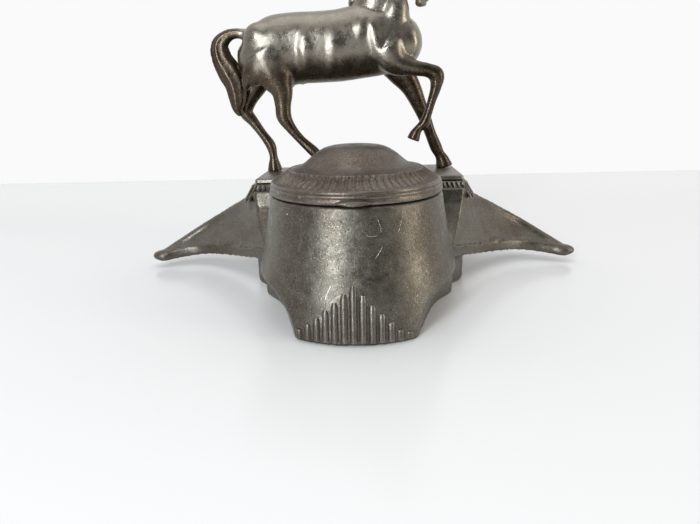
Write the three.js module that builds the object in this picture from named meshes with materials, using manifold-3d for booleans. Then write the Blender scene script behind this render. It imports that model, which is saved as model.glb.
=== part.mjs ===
// Desk inkwell with a horse figure: a cast metal base with two pen trays and a round ink pot, a
// hinged lid over a lift-out porcelain liner, and a horse soldered up from castings on a plate.
// Millimetres, +Z up, -Y to the front (the pot's side), +X the way the horse faces.
// The origin is on the table, at the middle of the base.
import * as THREE from "three";
import { LoftGeometry } from "three/addons/geometries/LoftGeometry.js";
import { mergeVertices } from "three/addons/utils/BufferGeometryUtils.js";
import Module from "manifold-3d";

const wasm = await Module();
wasm.setup();

// ---------------------------------------------------------------- driving dimensions
const WALL = 2.8; // thickness of the base casting
const JOINT_GAP = 0.3; // between two pieces that rest on each other
const BELOW_TABLE = 6; // how far cutters run past the resting plane

const RIM_WALL = 3.3; // of the pot round its mouth
const POT_HEIGHT = 44;
const FOOT_SPREAD = 6.9; // how far the pot's foot spreads past its rim
const FOOT_HALF_WIDTH = 20.3; // of the front foot between its two scooped sides
const SCOOP_HEIGHT = 16; // of the scoops beside the front foot
const SCOOP_FLARE = 10; // how far a scoop leans out by its top
const SKIRT_HEIGHT = 13; // of the low skirt that joins the pot to the plinth
const SKIRT_SPREAD = 6.4; // how far the skirt's rear corners stand out past the pot's foot

const REED_COUNT = 13; // ribs on the front foot
const REED_PITCH = 3;
const REED_RADIUS = 1.2;
const REED_BASE = 1.5; // height of the plain band under the reeds
const REED_TALLEST = 19.5;
const REED_STEP = 2.9; // each rib is this much shorter than its inner neighbour

const PLINTH_WIDTH = 93;
const PLINTH_DEPTH = 43;
const PLINTH_HEIGHT = 40.4;
const PLINTH_SETBACK_GAP = 11.5; // from the pot's rim back to the plinth's front
const PLINTH_FRIEZE = 6.5; // height of its upright band
const PLINTH_LEDGE = 1; // how far that band stands out past the plate
const PLINTH_FLARE = 4.5; // how far its foot spreads past that band
const PLINTH_RECESS = 1; // how far its foot stands back under the trays, short of the plate
const PLATE_THICKNESS = 1.8;

const WING_SPAN = 202.4;
const WING_TIP_BEHIND = 9.8; // from the plinth's front back to the wing tips
const WING_TIP_HEIGHT = 5.2; // middle of the tip above the table
const WING_TIP_LENGTH = 5.6;
const WING_TIP_HALF_WIDTH = 3.6;
const WING_TIP_HALF_HEIGHT = 2.6;
const RIM_WIDTH = 2.6; // of the raised front rim
const RIM_ROOT_TOP = 18; // height of that rim beside the pot
const RIM_TIP_TOP = 7.8;
const RIM_ROOT_BOTTOM = 12.5;
const RIM_TIP_BOTTOM = 2.7;
const RIDGE_ROOT_TOP = 38; // height at which the rear ridge runs into the plinth
const TRAY_ROOT_LENGTH = 14; // how far a tray runs on behind the pot
const SADDLE_HEIGHT = 26; // of the floor between pot and plinth

const LINER_RADIUS = 24.2;
const LINER_DEPTH = 29; // below its flange
const LINER_WALL = 2.2;
const LINER_FLANGE_WIDTH = 3;
const LINER_FLANGE_THICKNESS = 2.4;
const LINER_CLEARANCE = 0.5; // all round the liner in its seat
const LINER_RECESS = 0.2; // flange top below the pot's rim
const SEAT_THICKNESS = 2.6; // of the ledge that the liner hangs on

const LID_RIM_HEIGHT = 4.2;
const LID_RING_RISE = 3.8; // of the sloping fluted ring
const LID_RING_WIDTH = 6.4;
const LID_DOME_RISE = 8.5;
const LID_WALL = 2;
const LID_RING_INSET = 1; // from the rim's edge in to the foot of the ring
const DOME_SHOULDER = 1; // step between ring and dome
const TAB_HALF_WIDTH = 5.5;

const KNUCKLE_RADIUS = 2.2;
const LID_KNUCKLE_LENGTH = 7;
const POT_KNUCKLE_LENGTH = 4.2;
const PIN_RADIUS = 0.9;
const PIN_HEAD_RADIUS = 1.5;
const PIN_HEAD_LENGTH = 0.8;
const HINGE_CLEARANCE = 0.3; // round the pin, and between neighbouring knuckles
const HINGE_STANDOFF = 0.5; // between the knuckles and the pot's rim

const FIGURE_HEIGHT = 106; // plate to ear tips
const HIP_SPREAD = 7.5; // from the horse's middle plane to its legs
const SPIGOT_RADIUS = 1.1; // of the peg that locates each soldered casting
const SPIGOT_LENGTH = 3;

const SCREW_RADIUS = 1.2;
const SCREW_CLEARANCE = 0.3;
const SCREW_GRIP = 3.2; // length of shank inside a hoof
const SCREW_HEAD_RADIUS = 2.4;
const SCREW_HEAD_HEIGHT = 1.6;
const SCREW_SLOT_WIDTH = 0.7;
const WASHER_RADIUS = 3;
const WASHER_THICKNESS = 0.7;

// ---------------------------------------------------------------- places worked out from them
const LINER_FLANGE_RADIUS = LINER_RADIUS + LINER_FLANGE_WIDTH;
const MOUTH_RADIUS = LINER_FLANGE_RADIUS + LINER_CLEARANCE;
const SEAT_HOLE_RADIUS = LINER_RADIUS + LINER_CLEARANCE;
const POT_RADIUS = MOUTH_RADIUS + RIM_WALL;
const FOOT_RADIUS = POT_RADIUS + FOOT_SPREAD;
const SKIRT_HALF_WIDTH = FOOT_RADIUS + SKIRT_SPREAD;
const PLINTH_SETBACK = POT_RADIUS + PLINTH_SETBACK_GAP;
const WING_TIP_SETBACK = PLINTH_SETBACK + WING_TIP_BEHIND;
const PLINTH_SPREAD = PLINTH_LEDGE + PLINTH_FLARE;
const DEPTH = FOOT_RADIUS + PLINTH_SETBACK + PLINTH_DEPTH + PLINTH_SPREAD;
const POT_Y = FOOT_RADIUS - DEPTH / 2;
const PLINTH_FRONT = POT_Y + PLINTH_SETBACK;
const PLINTH_MIDDLE = PLINTH_FRONT + PLINTH_DEPTH / 2;
const PLATE_BOTTOM = PLINTH_HEIGHT + JOINT_GAP;
const PLATE_TOP = PLATE_BOTTOM + PLATE_THICKNESS;
const HOOF_BOTTOM = PLATE_TOP + JOINT_GAP;
const LID_BOTTOM = POT_HEIGHT + JOINT_GAP;
const HINGE_Y = POT_Y + POT_RADIUS + KNUCKLE_RADIUS + HINGE_STANDOFF;
const HINGE_Z = POT_HEIGHT + JOINT_GAP / 2;
const FLANGE_TOP = POT_HEIGHT - LINER_RECESS;
const SEAT_TOP = FLANGE_TOP - LINER_FLANGE_THICKNESS - JOINT_GAP;
const WEB_BOTTOM = PLINTH_HEIGHT - WALL;
const HEEL = new THREE.Vector2(FOOT_RADIUS * 0.968, FOOT_RADIUS * 0.248); // where a scoop ends

// ---------------------------------------------------------------- materials
const finish = (color, roughness, metalness) =>
  new THREE.MeshStandardMaterial({ color, roughness, metalness });
const BRONZED = finish(0x4b443c, 0.42, 0.85);
const BRONZED_DARK = finish(0x3b342e, 0.5, 0.8);
const PORCELAIN = finish(0xe9e6dc, 0.15, 0);
const STEEL = finish(0x8a8782, 0.35, 1);
const BRASS = finish(0xa58648, 0.35, 1);

// ---------------------------------------------------------------- solids
function solid(geometry) {
  const shape = new THREE.BufferGeometry().copy(geometry);
  shape.deleteAttribute("normal");
  shape.deleteAttribute("uv");
  const merged = mergeVertices(shape, 1e-4);
  const mesh = new wasm.Mesh({
    numProp: 3,
    vertProperties: merged.attributes.position.array,
    triVerts: new Uint32Array(merged.index.array),
  });
  return new wasm.Manifold(mesh);
}

const unite = (solids) => solids.reduce((sum, next) => sum.add(next));

function named(name, body, material) {
  const mesh = body.getMesh();
  const geometry = new THREE.BufferGeometry();
  geometry.setAttribute("position", new THREE.BufferAttribute(mesh.vertProperties, 3));
  geometry.setIndex(new THREE.BufferAttribute(mesh.triVerts, 1));
  geometry.computeVertexNormals();
  const node = new THREE.Mesh(geometry, material);
  node.name = name;
  return node;
}

// A surface of revolution about a vertical axis; the profile runs anticlockwise in (radius, z).
function turned(profile, sides, y) {
  const points = profile.map(([radius, z]) => new THREE.Vector2(radius, z));
  const lathe = new THREE.LatheGeometry(points, sides);
  return solid(lathe.rotateX(Math.PI / 2).translate(0, y, 0));
}

function rod(radius, from, to, sides = 16) {
  const axis = new THREE.Vector3().subVectors(to, from);
  const middle = new THREE.Vector3().addVectors(from, to).multiplyScalar(0.5);
  const turn = new THREE.Quaternion().setFromUnitVectors(
    new THREE.Vector3(0, 1, 0),
    axis.clone().normalize(),
  );
  const cylinder = new THREE.CylinderGeometry(radius, radius, axis.length(), sides);
  return solid(cylinder.applyQuaternion(turn).translate(middle.x, middle.y, middle.z));
}

function block(low, high) {
  const size = high.map((value, i) => value - low[i]);
  const middle = high.map((value, i) => (value + low[i]) / 2);
  return solid(new THREE.BoxGeometry(...size).translate(...middle));
}

function ellipsoid(centre, halves, across = 12, down = 8) {
  const ball = new THREE.SphereGeometry(1, across, down);
  return solid(ball.scale(...halves).translate(...centre));
}

// Closed skin over a row of rings with equal point counts, wound either way.
function loft(rings) {
  const middle = (ring) =>
    ring.reduce((sum, p) => sum.add(p), new THREE.Vector3()).divideScalar(ring.length);
  const [first, second] = rings;
  const along = middle(second).sub(middle(first));
  const turn = new THREE.Vector3();
  first.forEach((p, i) => turn.add(p.clone().cross(first[(i + 1) % first.length])));
  const sections = turn.dot(along) > 0 ? rings : rings.map((ring) => ring.toReversed());
  return solid(new LoftGeometry(sections, { capStart: true, capEnd: true }));
}

const mirrored = (body) => body.mirror([1, 0, 0]);
const point = (x, y, z) => new THREE.Vector3(x, y, z);
const mix = THREE.MathUtils.lerp;

// ---------------------------------------------------------------- ink pot
const POT_OUTLINE = [
  [FOOT_RADIUS, 0],
  [FOOT_RADIUS + 0.1, 0.11 * POT_HEIGHT],
  [FOOT_RADIUS - 1.3, 0.36 * POT_HEIGHT],
  [POT_RADIUS + 2.9, 0.61 * POT_HEIGHT],
  [POT_RADIUS + 1.1, 0.84 * POT_HEIGHT],
  [POT_RADIUS, POT_HEIGHT],
];

function potBody() {
  return turned([[0, 0], ...POT_OUTLINE, [0, POT_HEIGHT]], 48, POT_Y);
}

// The hollow under the pot follows its outside, up to the ledge that holds the liner.
function potHollow() {
  const outline = new THREE.SplineCurve(POT_OUTLINE.map(([r, z]) => new THREE.Vector2(r, z)));
  const roof = SEAT_TOP - SEAT_THICKNESS;
  const walls = outline
    .getPoints(10)
    .filter(({ y }) => y < roof)
    .map(({ x, y }) => [x - WALL, y]);
  const top = [walls.at(-1)[0], roof];
  const profile = [[0, -BELOW_TABLE], [walls[0][0], -BELOW_TABLE], ...walls, top, [0, roof]];
  return turned(profile, 40, POT_Y);
}

function potMouth() {
  const roof = SEAT_TOP - SEAT_THICKNESS;
  const profile = [
    [0, roof - 1],
    [SEAT_HOLE_RADIUS, roof - 1],
    [SEAT_HOLE_RADIUS, SEAT_TOP],
    [MOUTH_RADIUS, SEAT_TOP],
    [MOUTH_RADIUS, POT_HEIGHT + 1],
    [0, POT_HEIGHT + 1],
  ];
  return turned(profile, 40, POT_Y);
}

// Scoop beside the front foot: it is deepest on the table and leans out to nothing above.
// The wall is left standing when the same scoop, grown by it, is kept out of the hollow.
function scoopRing(share, grow) {
  const lean = SCOOP_FLARE * (1 - Math.sqrt(1 - share ** 2)) - grow;
  const frontY = -Math.sqrt(FOOT_RADIUS ** 2 - FOOT_HALF_WIDTH ** 2);
  const edge = new THREE.SplineCurve([
    new THREE.Vector2(FOOT_HALF_WIDTH, frontY),
    new THREE.Vector2(FOOT_HALF_WIDTH + 6.3, frontY * 0.3),
    new THREE.Vector2(FOOT_RADIUS * 0.8, 0),
    HEEL,
  ]);
  const far = FOOT_RADIUS + SCOOP_FLARE + 4;
  const outline = [
    new THREE.Vector2(FOOT_HALF_WIDTH - 2, frontY - 12),
    ...edge.getPoints(9),
    new THREE.Vector2(HEEL.x + 6, HEEL.y + 2),
    new THREE.Vector2(far, HEEL.y),
    new THREE.Vector2(far, frontY - 12),
  ];
  const z = share * (SCOOP_HEIGHT + grow);
  return outline.map(({ x, y }) => point(Math.min(far, x + lean), POT_Y + y, z));
}

function scoop(grow) {
  const rings = [0, 0.3, 0.55, 0.75, 0.9, 1].map((share) => scoopRing(share, grow));
  const below = rings[0].map(({ x, y }) => point(x, y, -BELOW_TABLE - 1));
  return loft([below, ...rings]);
}

function scoops(grow) {
  const middle = scoop(grow);
  const right = middle.add(middle.translate([0, grow, 0]));
  return right.add(mirrored(right));
}

// Graduated ribs on the front foot, tallest in the middle.
function frontReeds() {
  const middle = (REED_COUNT - 1) / 2;
  const reeds = [];
  for (let i = 0; i < REED_COUNT; i += 1) {
    const x = (i - middle) * REED_PITCH;
    const top = REED_TALLEST - Math.abs(i - middle) * REED_STEP;
    const y = POT_Y - Math.sqrt((FOOT_RADIUS - 0.8) ** 2 - x ** 2);
    const lean = 0.07 * Math.max(0, top - REED_BASE);
    const foot = point(x, y, REED_BASE);
    const head = point(x * (1 - lean / FOOT_RADIUS), y + lean, Math.max(top, REED_BASE + 1));
    reeds.push(rod(REED_RADIUS, foot, head, 6));
  }
  return unite(reeds);
}

// Low skirt from the pot's sides to the plinth, with a concave side between its two corners.
function skirt(inset) {
  const heel = [HEEL.x - inset, HEEL.y];
  const rear = [SKIRT_HALF_WIDTH - inset, FOOT_RADIUS * 0.74];
  const back = PLINTH_SETBACK + 2;
  const shape = new THREE.Shape();
  shape.moveTo(heel[0], heel[1]);
  shape.quadraticCurveTo(heel[0] + 1.5, heel[1] + 13, rear[0], rear[1]);
  shape.lineTo(rear[0] + 3, back);
  shape.lineTo(-rear[0] - 3, back);
  shape.lineTo(-rear[0], rear[1]);
  shape.quadraticCurveTo(-heel[0] - 1.5, heel[1] + 13, -heel[0], heel[1]);
  shape.closePath();
  const depth = inset ? SKIRT_HEIGHT + BELOW_TABLE - inset : SKIRT_HEIGHT;
  const plate = new THREE.ExtrudeGeometry(shape, { depth, curveSegments: 5, bevelEnabled: false });
  return solid(plate.translate(0, POT_Y, inset ? -BELOW_TABLE : 0));
}

// ---------------------------------------------------------------- pen trays
const WING_TIP_X = WING_SPAN / 2 - WING_TIP_LENGTH + 0.8;
const FRONT_EDGE = new THREE.SplineCurve([
  new THREE.Vector2(HEEL.x + 0.2, HEEL.y + 5),
  new THREE.Vector2(SKIRT_HALF_WIDTH - 0.4, FOOT_RADIUS * 0.65),
  new THREE.Vector2(SKIRT_HALF_WIDTH + 6.2, PLINTH_SETBACK - 10),
  new THREE.Vector2(mix(SKIRT_HALF_WIDTH, WING_TIP_X, 0.36), WING_TIP_SETBACK - 8),
  new THREE.Vector2(mix(SKIRT_HALF_WIDTH, WING_TIP_X, 0.67), WING_TIP_SETBACK + 0.2),
  new THREE.Vector2(WING_TIP_X, WING_TIP_SETBACK - WING_TIP_HALF_WIDTH + 0.6),
]);
const RIDGE_ROOT = new THREE.Vector2(PLINTH_WIDTH / 2 - 0.5, PLINTH_SETBACK - 3.4);
const RIDGE_TIP = new THREE.Vector2(WING_TIP_X, WING_TIP_SETBACK + WING_TIP_HALF_WIDTH - 0.6);
const RIDGE = new THREE.SplineCurve([
  RIDGE_ROOT,
  new THREE.Vector2(mix(RIDGE_ROOT.x, RIDGE_TIP.x, 0.27), PLINTH_SETBACK + 11.5),
  new THREE.Vector2(mix(RIDGE_ROOT.x, RIDGE_TIP.x, 0.59), PLINTH_SETBACK + 20.5),
  new THREE.Vector2(mix(RIDGE_ROOT.x, RIDGE_TIP.x, 0.84), PLINTH_SETBACK + 17.3),
  RIDGE_TIP,
]);
const TRAY_STATIONS = 14;
const HOLLOW_SHARE = 0.72; // how far towards the tip a tray is hollow
const RIM_SWEEP = 1.1; // above 1 the rim stays high near the pot
const DISH = 1.7; // above 1 the tray's floor is hollow from rim to ridge

// Where a tray's cross-section lies: f runs from the root to the tip.
function traySpan(f) {
  const front = FRONT_EDGE.getPoint(f);
  const rear = RIDGE.getPoint(f);
  return { front, rear, width: front.distanceTo(rear) };
}

const rimTop = (f) => mix(RIM_ROOT_TOP, RIM_TIP_TOP, f ** RIM_SWEEP);
const rimBottom = (f) => mix(RIM_ROOT_BOTTOM, RIM_TIP_BOTTOM, f ** RIM_SWEEP);
const ridgeTop = (f) => {
  const share = (RIDGE.getPoint(f).x - RIDGE_ROOT.x) / (RIDGE_TIP.x - RIDGE_ROOT.x);
  return mix(RIDGE_ROOT_TOP, WING_TIP_HEIGHT + WING_TIP_HALF_HEIGHT, share);
};
const troughDepth = (f) => mix(rimTop(f) - 3.2, rimTop(f) - 0.6, f);

// Height of the tray's floor at t across it, from the rim (0) to the rear ridge (1).
const trayFloor = (f, t) => mix(troughDepth(f), ridgeTop(f), Math.pow(t, DISH));

function across({ front, rear }, t, z) {
  return point(mix(front.x, rear.x, t), POT_Y + mix(front.y, rear.y, t), z);
}

function trayRing(f) {
  const span = traySpan(f);
  const rim = RIM_WIDTH / span.width;
  const steps = [rim + 0.06, 0.45, 0.65, 0.82, 1];
  return [
    across(span, 0, rimBottom(f)),
    across(span, 0, rimTop(f)),
    across(span, rim, rimTop(f)),
    ...steps.map((t) => across(span, t, trayFloor(f, (t - rim) / (1 - rim)))),
    across(span, 1.06, ridgeTop(f) - 1),
    across(span, 1.1, rimBottom(f)),
  ];
}

function trayHollowRing(f) {
  const span = traySpan(f);
  const rim = RIM_WIDTH / span.width;
  const roof = (t) => trayFloor(f, (t - rim) / (1 - rim)) - WALL;
  const [start, end] = [0.36, 0.93]; // shares of the way from rim to ridge
  return [
    across(span, start, -BELOW_TABLE),
    ...stations(start, end, 3).map((t) => across(span, t, roof(t))),
    across(span, end, -BELOW_TABLE),
  ];
}

const stations = (from, to, count) =>
  Array.from({ length: count + 1 }, (_, i) => mix(from, to, i / count));

// The root section runs on towards the middle, behind the pot.
const rooted = (ring, length) => ring.map((p) => p.clone().setX(p.x - length));

function tray() {
  const rings = stations(0, 1, TRAY_STATIONS).map(trayRing);
  return loft([rooted(rings[0], TRAY_ROOT_LENGTH), ...rings]);
}

function trayHollow() {
  const rings = stations(0, HOLLOW_SHARE, 8).map(trayHollowRing);
  return loft([rooted(rings[0], TRAY_ROOT_LENGTH - WALL), ...rings]);
}

function wingTip() {
  const centre = [WING_TIP_X - 0.8, POT_Y + WING_TIP_SETBACK, WING_TIP_HEIGHT];
  return ellipsoid(centre, [WING_TIP_LENGTH, WING_TIP_HALF_WIDTH, WING_TIP_HALF_HEIGHT], 16, 10);
}

// The floor between the pot and the plinth, highest behind the pot, falling to both trays.
function saddleRing(x, inset) {
  const rise = Math.cos((x / (HEEL.x + 1)) * (Math.PI / 2));
  const top = mix(troughDepth(0), SADDLE_HEIGHT, Math.max(0, rise)) - inset;
  const bottom = inset ? -BELOW_TABLE : 0;
  const front = POT_Y + (inset ? 0 : 10);
  const rear = PLINTH_FRONT + WALL + inset;
  return [
    point(x, front, bottom),
    point(x, front, top),
    point(x, rear, top),
    point(x, rear, bottom),
  ];
}

function saddle(inset) {
  const half = HEEL.x + 1 - inset;
  return loft(stations(-half, half, 12).map((x) => saddleRing(x, inset)));
}

// ---------------------------------------------------------------- plinth
// Rounded rectangle at height z, standing out by its own amount at the rear and at the front.
function plinthRing(rear, z, front = rear) {
  const quarter = (spread) => {
    const x = PLINTH_WIDTH / 2 + spread;
    const y = PLINTH_DEPTH / 2 + spread;
    const corner = 1.6 + Math.max(0, spread) * 0.8;
    return [
      [x, y - corner],
      [x - corner * 0.3, y - corner * 0.3],
      [x - corner, y],
    ];
  };
  const half = (corner) => [...corner, ...corner.toReversed().map(([a, b]) => [-a, b])];
  const ring = [...half(quarter(rear)), ...half(quarter(front)).map(([a, b]) => [-a, -b])];
  return ring.map(([a, b]) => point(a, PLINTH_MIDDLE + b, z));
}

const FLARE_TOP = PLINTH_HEIGHT - PLINTH_FRIEZE;
const FRIEZE_SHARE = 0.65; // of the whole spread, reached at the frieze's foot
const plinthSpread = (share) => PLINTH_LEDGE + PLINTH_FLARE * share;

function plinth() {
  const front = plinthSpread(FRIEZE_SHARE);
  return loft([
    plinthRing(plinthSpread(1), 0, -PLINTH_RECESS),
    plinthRing(plinthSpread(0.98), FLARE_TOP * 0.3, -PLINTH_RECESS),
    plinthRing(plinthSpread(0.95), FLARE_TOP * 0.42, front),
    plinthRing(plinthSpread(0.9), FLARE_TOP * 0.7, front),
    plinthRing(plinthSpread(0.8), FLARE_TOP * 0.9, front),
    plinthRing(front, FLARE_TOP),
    plinthRing(plinthSpread(0.15), mix(FLARE_TOP, PLINTH_HEIGHT, 0.6)),
    plinthRing(plinthSpread(0), PLINTH_HEIGHT),
  ]);
}

function plinthHollow() {
  const front = plinthSpread(FRIEZE_SHARE) - WALL;
  return loft([
    plinthRing(plinthSpread(1) - WALL, -BELOW_TABLE, -PLINTH_RECESS - WALL),
    plinthRing(plinthSpread(0.95) - WALL, FLARE_TOP * 0.3, -PLINTH_RECESS - WALL),
    plinthRing(plinthSpread(0.9) - WALL, FLARE_TOP * 0.42, front),
    plinthRing(plinthSpread(0.8) - WALL, FLARE_TOP * 0.7, front),
    plinthRing(plinthSpread(0.4) - WALL, FLARE_TOP, plinthSpread(0.4) - WALL),
    plinthRing(plinthSpread(0) - WALL, WEB_BOTTOM),
  ]);
}

// ---------------------------------------------------------------- hinge
const LID_KNUCKLE_END = LID_KNUCKLE_LENGTH / 2;
const POT_KNUCKLE_START = LID_KNUCKLE_END + HINGE_CLEARANCE;
const POT_KNUCKLE_END = POT_KNUCKLE_START + POT_KNUCKLE_LENGTH;
const BORE_RADIUS = PIN_RADIUS + HINGE_CLEARANCE;
const onHinge = (x) => point(x, HINGE_Y, HINGE_Z);

function hingeBore() {
  return rod(BORE_RADIUS, onHinge(-POT_KNUCKLE_END - 1), onHinge(POT_KNUCKLE_END + 1), 20);
}

function potKnuckles() {
  const barrel = rod(KNUCKLE_RADIUS, onHinge(POT_KNUCKLE_START), onHinge(POT_KNUCKLE_END));
  const web = block(
    [POT_KNUCKLE_START, HINGE_Y - KNUCKLE_RADIUS - 3, HINGE_Z - KNUCKLE_RADIUS],
    [POT_KNUCKLE_END, HINGE_Y, POT_HEIGHT],
  );
  const right = barrel.add(web);
  return right.add(mirrored(right));
}

function lidKnuckle() {
  const barrel = rod(KNUCKLE_RADIUS, onHinge(-LID_KNUCKLE_END), onHinge(LID_KNUCKLE_END));
  const leaf = block(
    [-LID_KNUCKLE_END, HINGE_Y - KNUCKLE_RADIUS - 2.5, LID_BOTTOM],
    [LID_KNUCKLE_END, HINGE_Y, HINGE_Z + KNUCKLE_RADIUS],
  );
  return barrel.add(leaf);
}

function hingePin() {
  const end = POT_KNUCKLE_END + HINGE_CLEARANCE;
  const shank = rod(PIN_RADIUS, onHinge(-end - 0.1), onHinge(end + 0.1), 20);
  const head = rod(PIN_HEAD_RADIUS, onHinge(end), onHinge(end + PIN_HEAD_LENGTH), 20);
  return unite([shank, head, mirrored(head)]);
}

// ---------------------------------------------------------------- lid
const RING_TOP_RADIUS = POT_RADIUS - LID_RING_INSET - LID_RING_WIDTH;
const RING_BOTTOM_Z = LID_BOTTOM + LID_RIM_HEIGHT;
const RING_TOP_Z = RING_BOTTOM_Z + LID_RING_RISE;
const DOME_TOP = RING_TOP_Z + LID_DOME_RISE;

function lidDome(radius, top, foot, thickness) {
  const height = top - foot;
  const curve = new THREE.SplineCurve([
    new THREE.Vector2(radius, foot),
    new THREE.Vector2(radius * 0.81, foot + height * 0.2),
    new THREE.Vector2(radius * 0.57, foot + height * 0.7),
    new THREE.Vector2(radius * 0.38, foot + height * 0.91),
    new THREE.Vector2(0, top),
  ]);
  return curve.getPoints(7).map(({ x, y }) => [x, y - thickness]);
}

function lidShell() {
  const edge = POT_RADIUS;
  const inner = MOUTH_RADIUS;
  const inside = lidDome(RING_TOP_RADIUS - DOME_SHOULDER, DOME_TOP, RING_TOP_Z, LID_WALL).toReversed();
  inside[0][0] = 0;
  const outside = lidDome(RING_TOP_RADIUS - DOME_SHOULDER, DOME_TOP, RING_TOP_Z - 0.3, 0);
  outside.at(-1)[0] = 0;
  return turned(
    [
      ...inside,
      [inner - 1, RING_BOTTOM_Z - LID_WALL * 0.6],
      [inner, LID_BOTTOM],
      [edge, LID_BOTTOM],
      [edge + 0.2, LID_BOTTOM + LID_RIM_HEIGHT * 0.34],
      [edge - 0.4, LID_BOTTOM + LID_RIM_HEIGHT * 0.44],
      [edge - 0.2, LID_BOTTOM + LID_RIM_HEIGHT * 0.66],
      [edge - 0.8, LID_BOTTOM + LID_RIM_HEIGHT * 0.76],
      [edge - 0.9, RING_BOTTOM_Z - 0.2],
      ...outside,
    ],
    48,
    POT_Y,
  );
}

function thumbTab() {
  const centre = [0, POT_Y - POT_RADIUS - 0.1, LID_BOTTOM + 0.9];
  return ellipsoid(centre, [TAB_HALF_WIDTH, 1.5, 0.8], 16, 8);
}

function lid() {
  const whole = unite([lidShell(), thumbTab(), lidKnuckle()]);
  return whole.subtract(hingeBore());
}

// ---------------------------------------------------------------- liner
function inkLiner() {
  const flangeBottom = FLANGE_TOP - LINER_FLANGE_THICKNESS;
  const bottom = flangeBottom - LINER_DEPTH;
  const bore = LINER_RADIUS - LINER_WALL;
  return turned(
    [
      [0, bottom],
      [LINER_RADIUS - 3, bottom],
      [LINER_RADIUS, bottom + 3],
      [LINER_RADIUS, flangeBottom],
      [LINER_FLANGE_RADIUS, flangeBottom],
      [LINER_FLANGE_RADIUS, FLANGE_TOP - 0.8],
      [LINER_FLANGE_RADIUS - 0.8, FLANGE_TOP],
      [bore + 1, FLANGE_TOP],
      [bore, FLANGE_TOP - 1.2],
      [bore, bottom + LINER_WALL + 3],
      [bore - 3, bottom + LINER_WALL],
      [0, bottom + LINER_WALL],
    ],
    36,
    POT_Y,
  );
}

// ---------------------------------------------------------------- horse
// Stations are [x, z, half-thickness in side view, half-width], on a horse 106 mm tall, with
// z above the hooves. A limb's whole chain is listed from the body down.
const HORSE = FIGURE_HEIGHT / 106;
const NEAR = -HIP_SPREAD;
const FAR = HIP_SPREAD;

const TORSO = [
  [-53, 55, 3, 5],
  [-50, 53.5, 8.5, 9.5],
  [-44, 53, 12.8, 12.4],
  [-36, 53.5, 15.2, 12.8],
  [-28, 54.8, 15, 12],
  [-18, 55.2, 15, 12.4],
  [-8, 55.6, 15.2, 12.2],
  [2, 57.2, 15.4, 11.6],
  [11, 57.5, 14.8, 11.4],
  [19, 56.6, 12.6, 10.6],
  [26, 56.4, 8.2, 8],
  [29, 56.4, 3, 4],
];
const NECK = [
  [8, 62, 13, 8.5],
  [11, 72, 12.2, 7.6],
  [12.6, 80, 9.8, 6.4],
  [14.2, 88, 8.2, 5.4],
  [17, 95, 6.8, 4.6],
  [20.5, 99, 4.6, 3.8],
];
const HEAD = [
  [19.5, 97.5, 4.4, 3.6],
  [23.4, 94.5, 6.4, 4.8],
  [26, 88.5, 6, 4.6],
  [27.8, 82.5, 4.9, 3.8],
  [28.8, 77, 4.2, 3.3],
  [29.2, 73.2, 3.3, 2.9],
];
const NEAR_FORELEG = [
  [13, 54, 8.5, 5.6],
  [17, 48, 6, 4.8],
  [24, 45.6, 3.8, 3.8],
  [31, 44.2, 3, 3],
  [34.6, 41.8, 3.4, 3],
  [34.6, 37, 2.3, 2.3],
  [33, 31, 1.9, 1.9],
  [31.2, 25, 1.9, 1.9],
  [30, 21, 2.3, 2.2],
  [28.4, 18.4, 1.8, 1.8],
  [26.2, 15.6, 2.4, 2.4],
  [24.6, 13.2, 2.5, 2.6],
];
const FAR_FORELEG = [
  [14, 52, 8, 5.4],
  [20, 44.4, 6.4, 4.6],
  [24.6, 38.2, 4.8, 3.8],
  [28.2, 31, 3.7, 3.2],
  [31.8, 23, 3, 2.5],
  [34.4, 16.3, 2.7, 2.4],
  [37.3, 9.6, 2.9, 2.6],
  [39, 6.4, 2.6, 2.5],
  [40.6, 3.6, 3.4, 3.1],
  [41.6, -1.6, 4.2, 3.9],
];
const NEAR_HIND_LEG = [
  [-41, 54, 10, 6.4],
  [-37.5, 45, 8.2, 5.6],
  [-34, 37.5, 5.2, 4.2],
  [-33.8, 31, 3.7, 3.2],
  [-33.6, 26, 3.5, 2.9],
  [-30.8, 21, 2.5, 2.3],
  [-26.4, 15.6, 2.1, 2],
  [-20.6, 10, 2.5, 2.3],
  [-17.2, 6.2, 2.1, 2.1],
  [-15.6, 3.4, 3, 2.9],
  [-14.4, -1.6, 3.8, 3.6],
];
const FAR_HIND_LEG = [
  [-44, 52, 9.4, 6],
  [-48, 43, 7, 5],
  [-52.6, 34, 4.2, 3.6],
  [-54.3, 28.4, 3.5, 3],
  [-51, 23.6, 2.6, 2.4],
  [-47, 17.8, 2.2, 2.1],
  [-43.4, 12.2, 2.5, 2.3],
  [-42.4, 7, 2, 2],
  [-42.2, 3.4, 2.9, 2.9],
  [-42, -1.6, 3.8, 3.6],
];
const TAIL = [
  [-44, 59.6, 3.6, 3.6],
  [-49.4, 61.6, 3, 3],
  [-54, 62.3, 2.4, 2.6],
  [-58.4, 61.2, 3, 2.8],
  [-61.9, 57.6, 4.3, 3.2],
  [-61.6, 52, 5.1, 3.3],
  [-58.8, 46.2, 5.8, 3.3],
  [-56.5, 40.5, 5.2, 3.1],
  [-56.2, 34.5, 4.3, 2.8],
  [-56.4, 30, 2.8, 2.2],
  [-55.2, 26.6, 1.4, 1.4],
];

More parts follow.
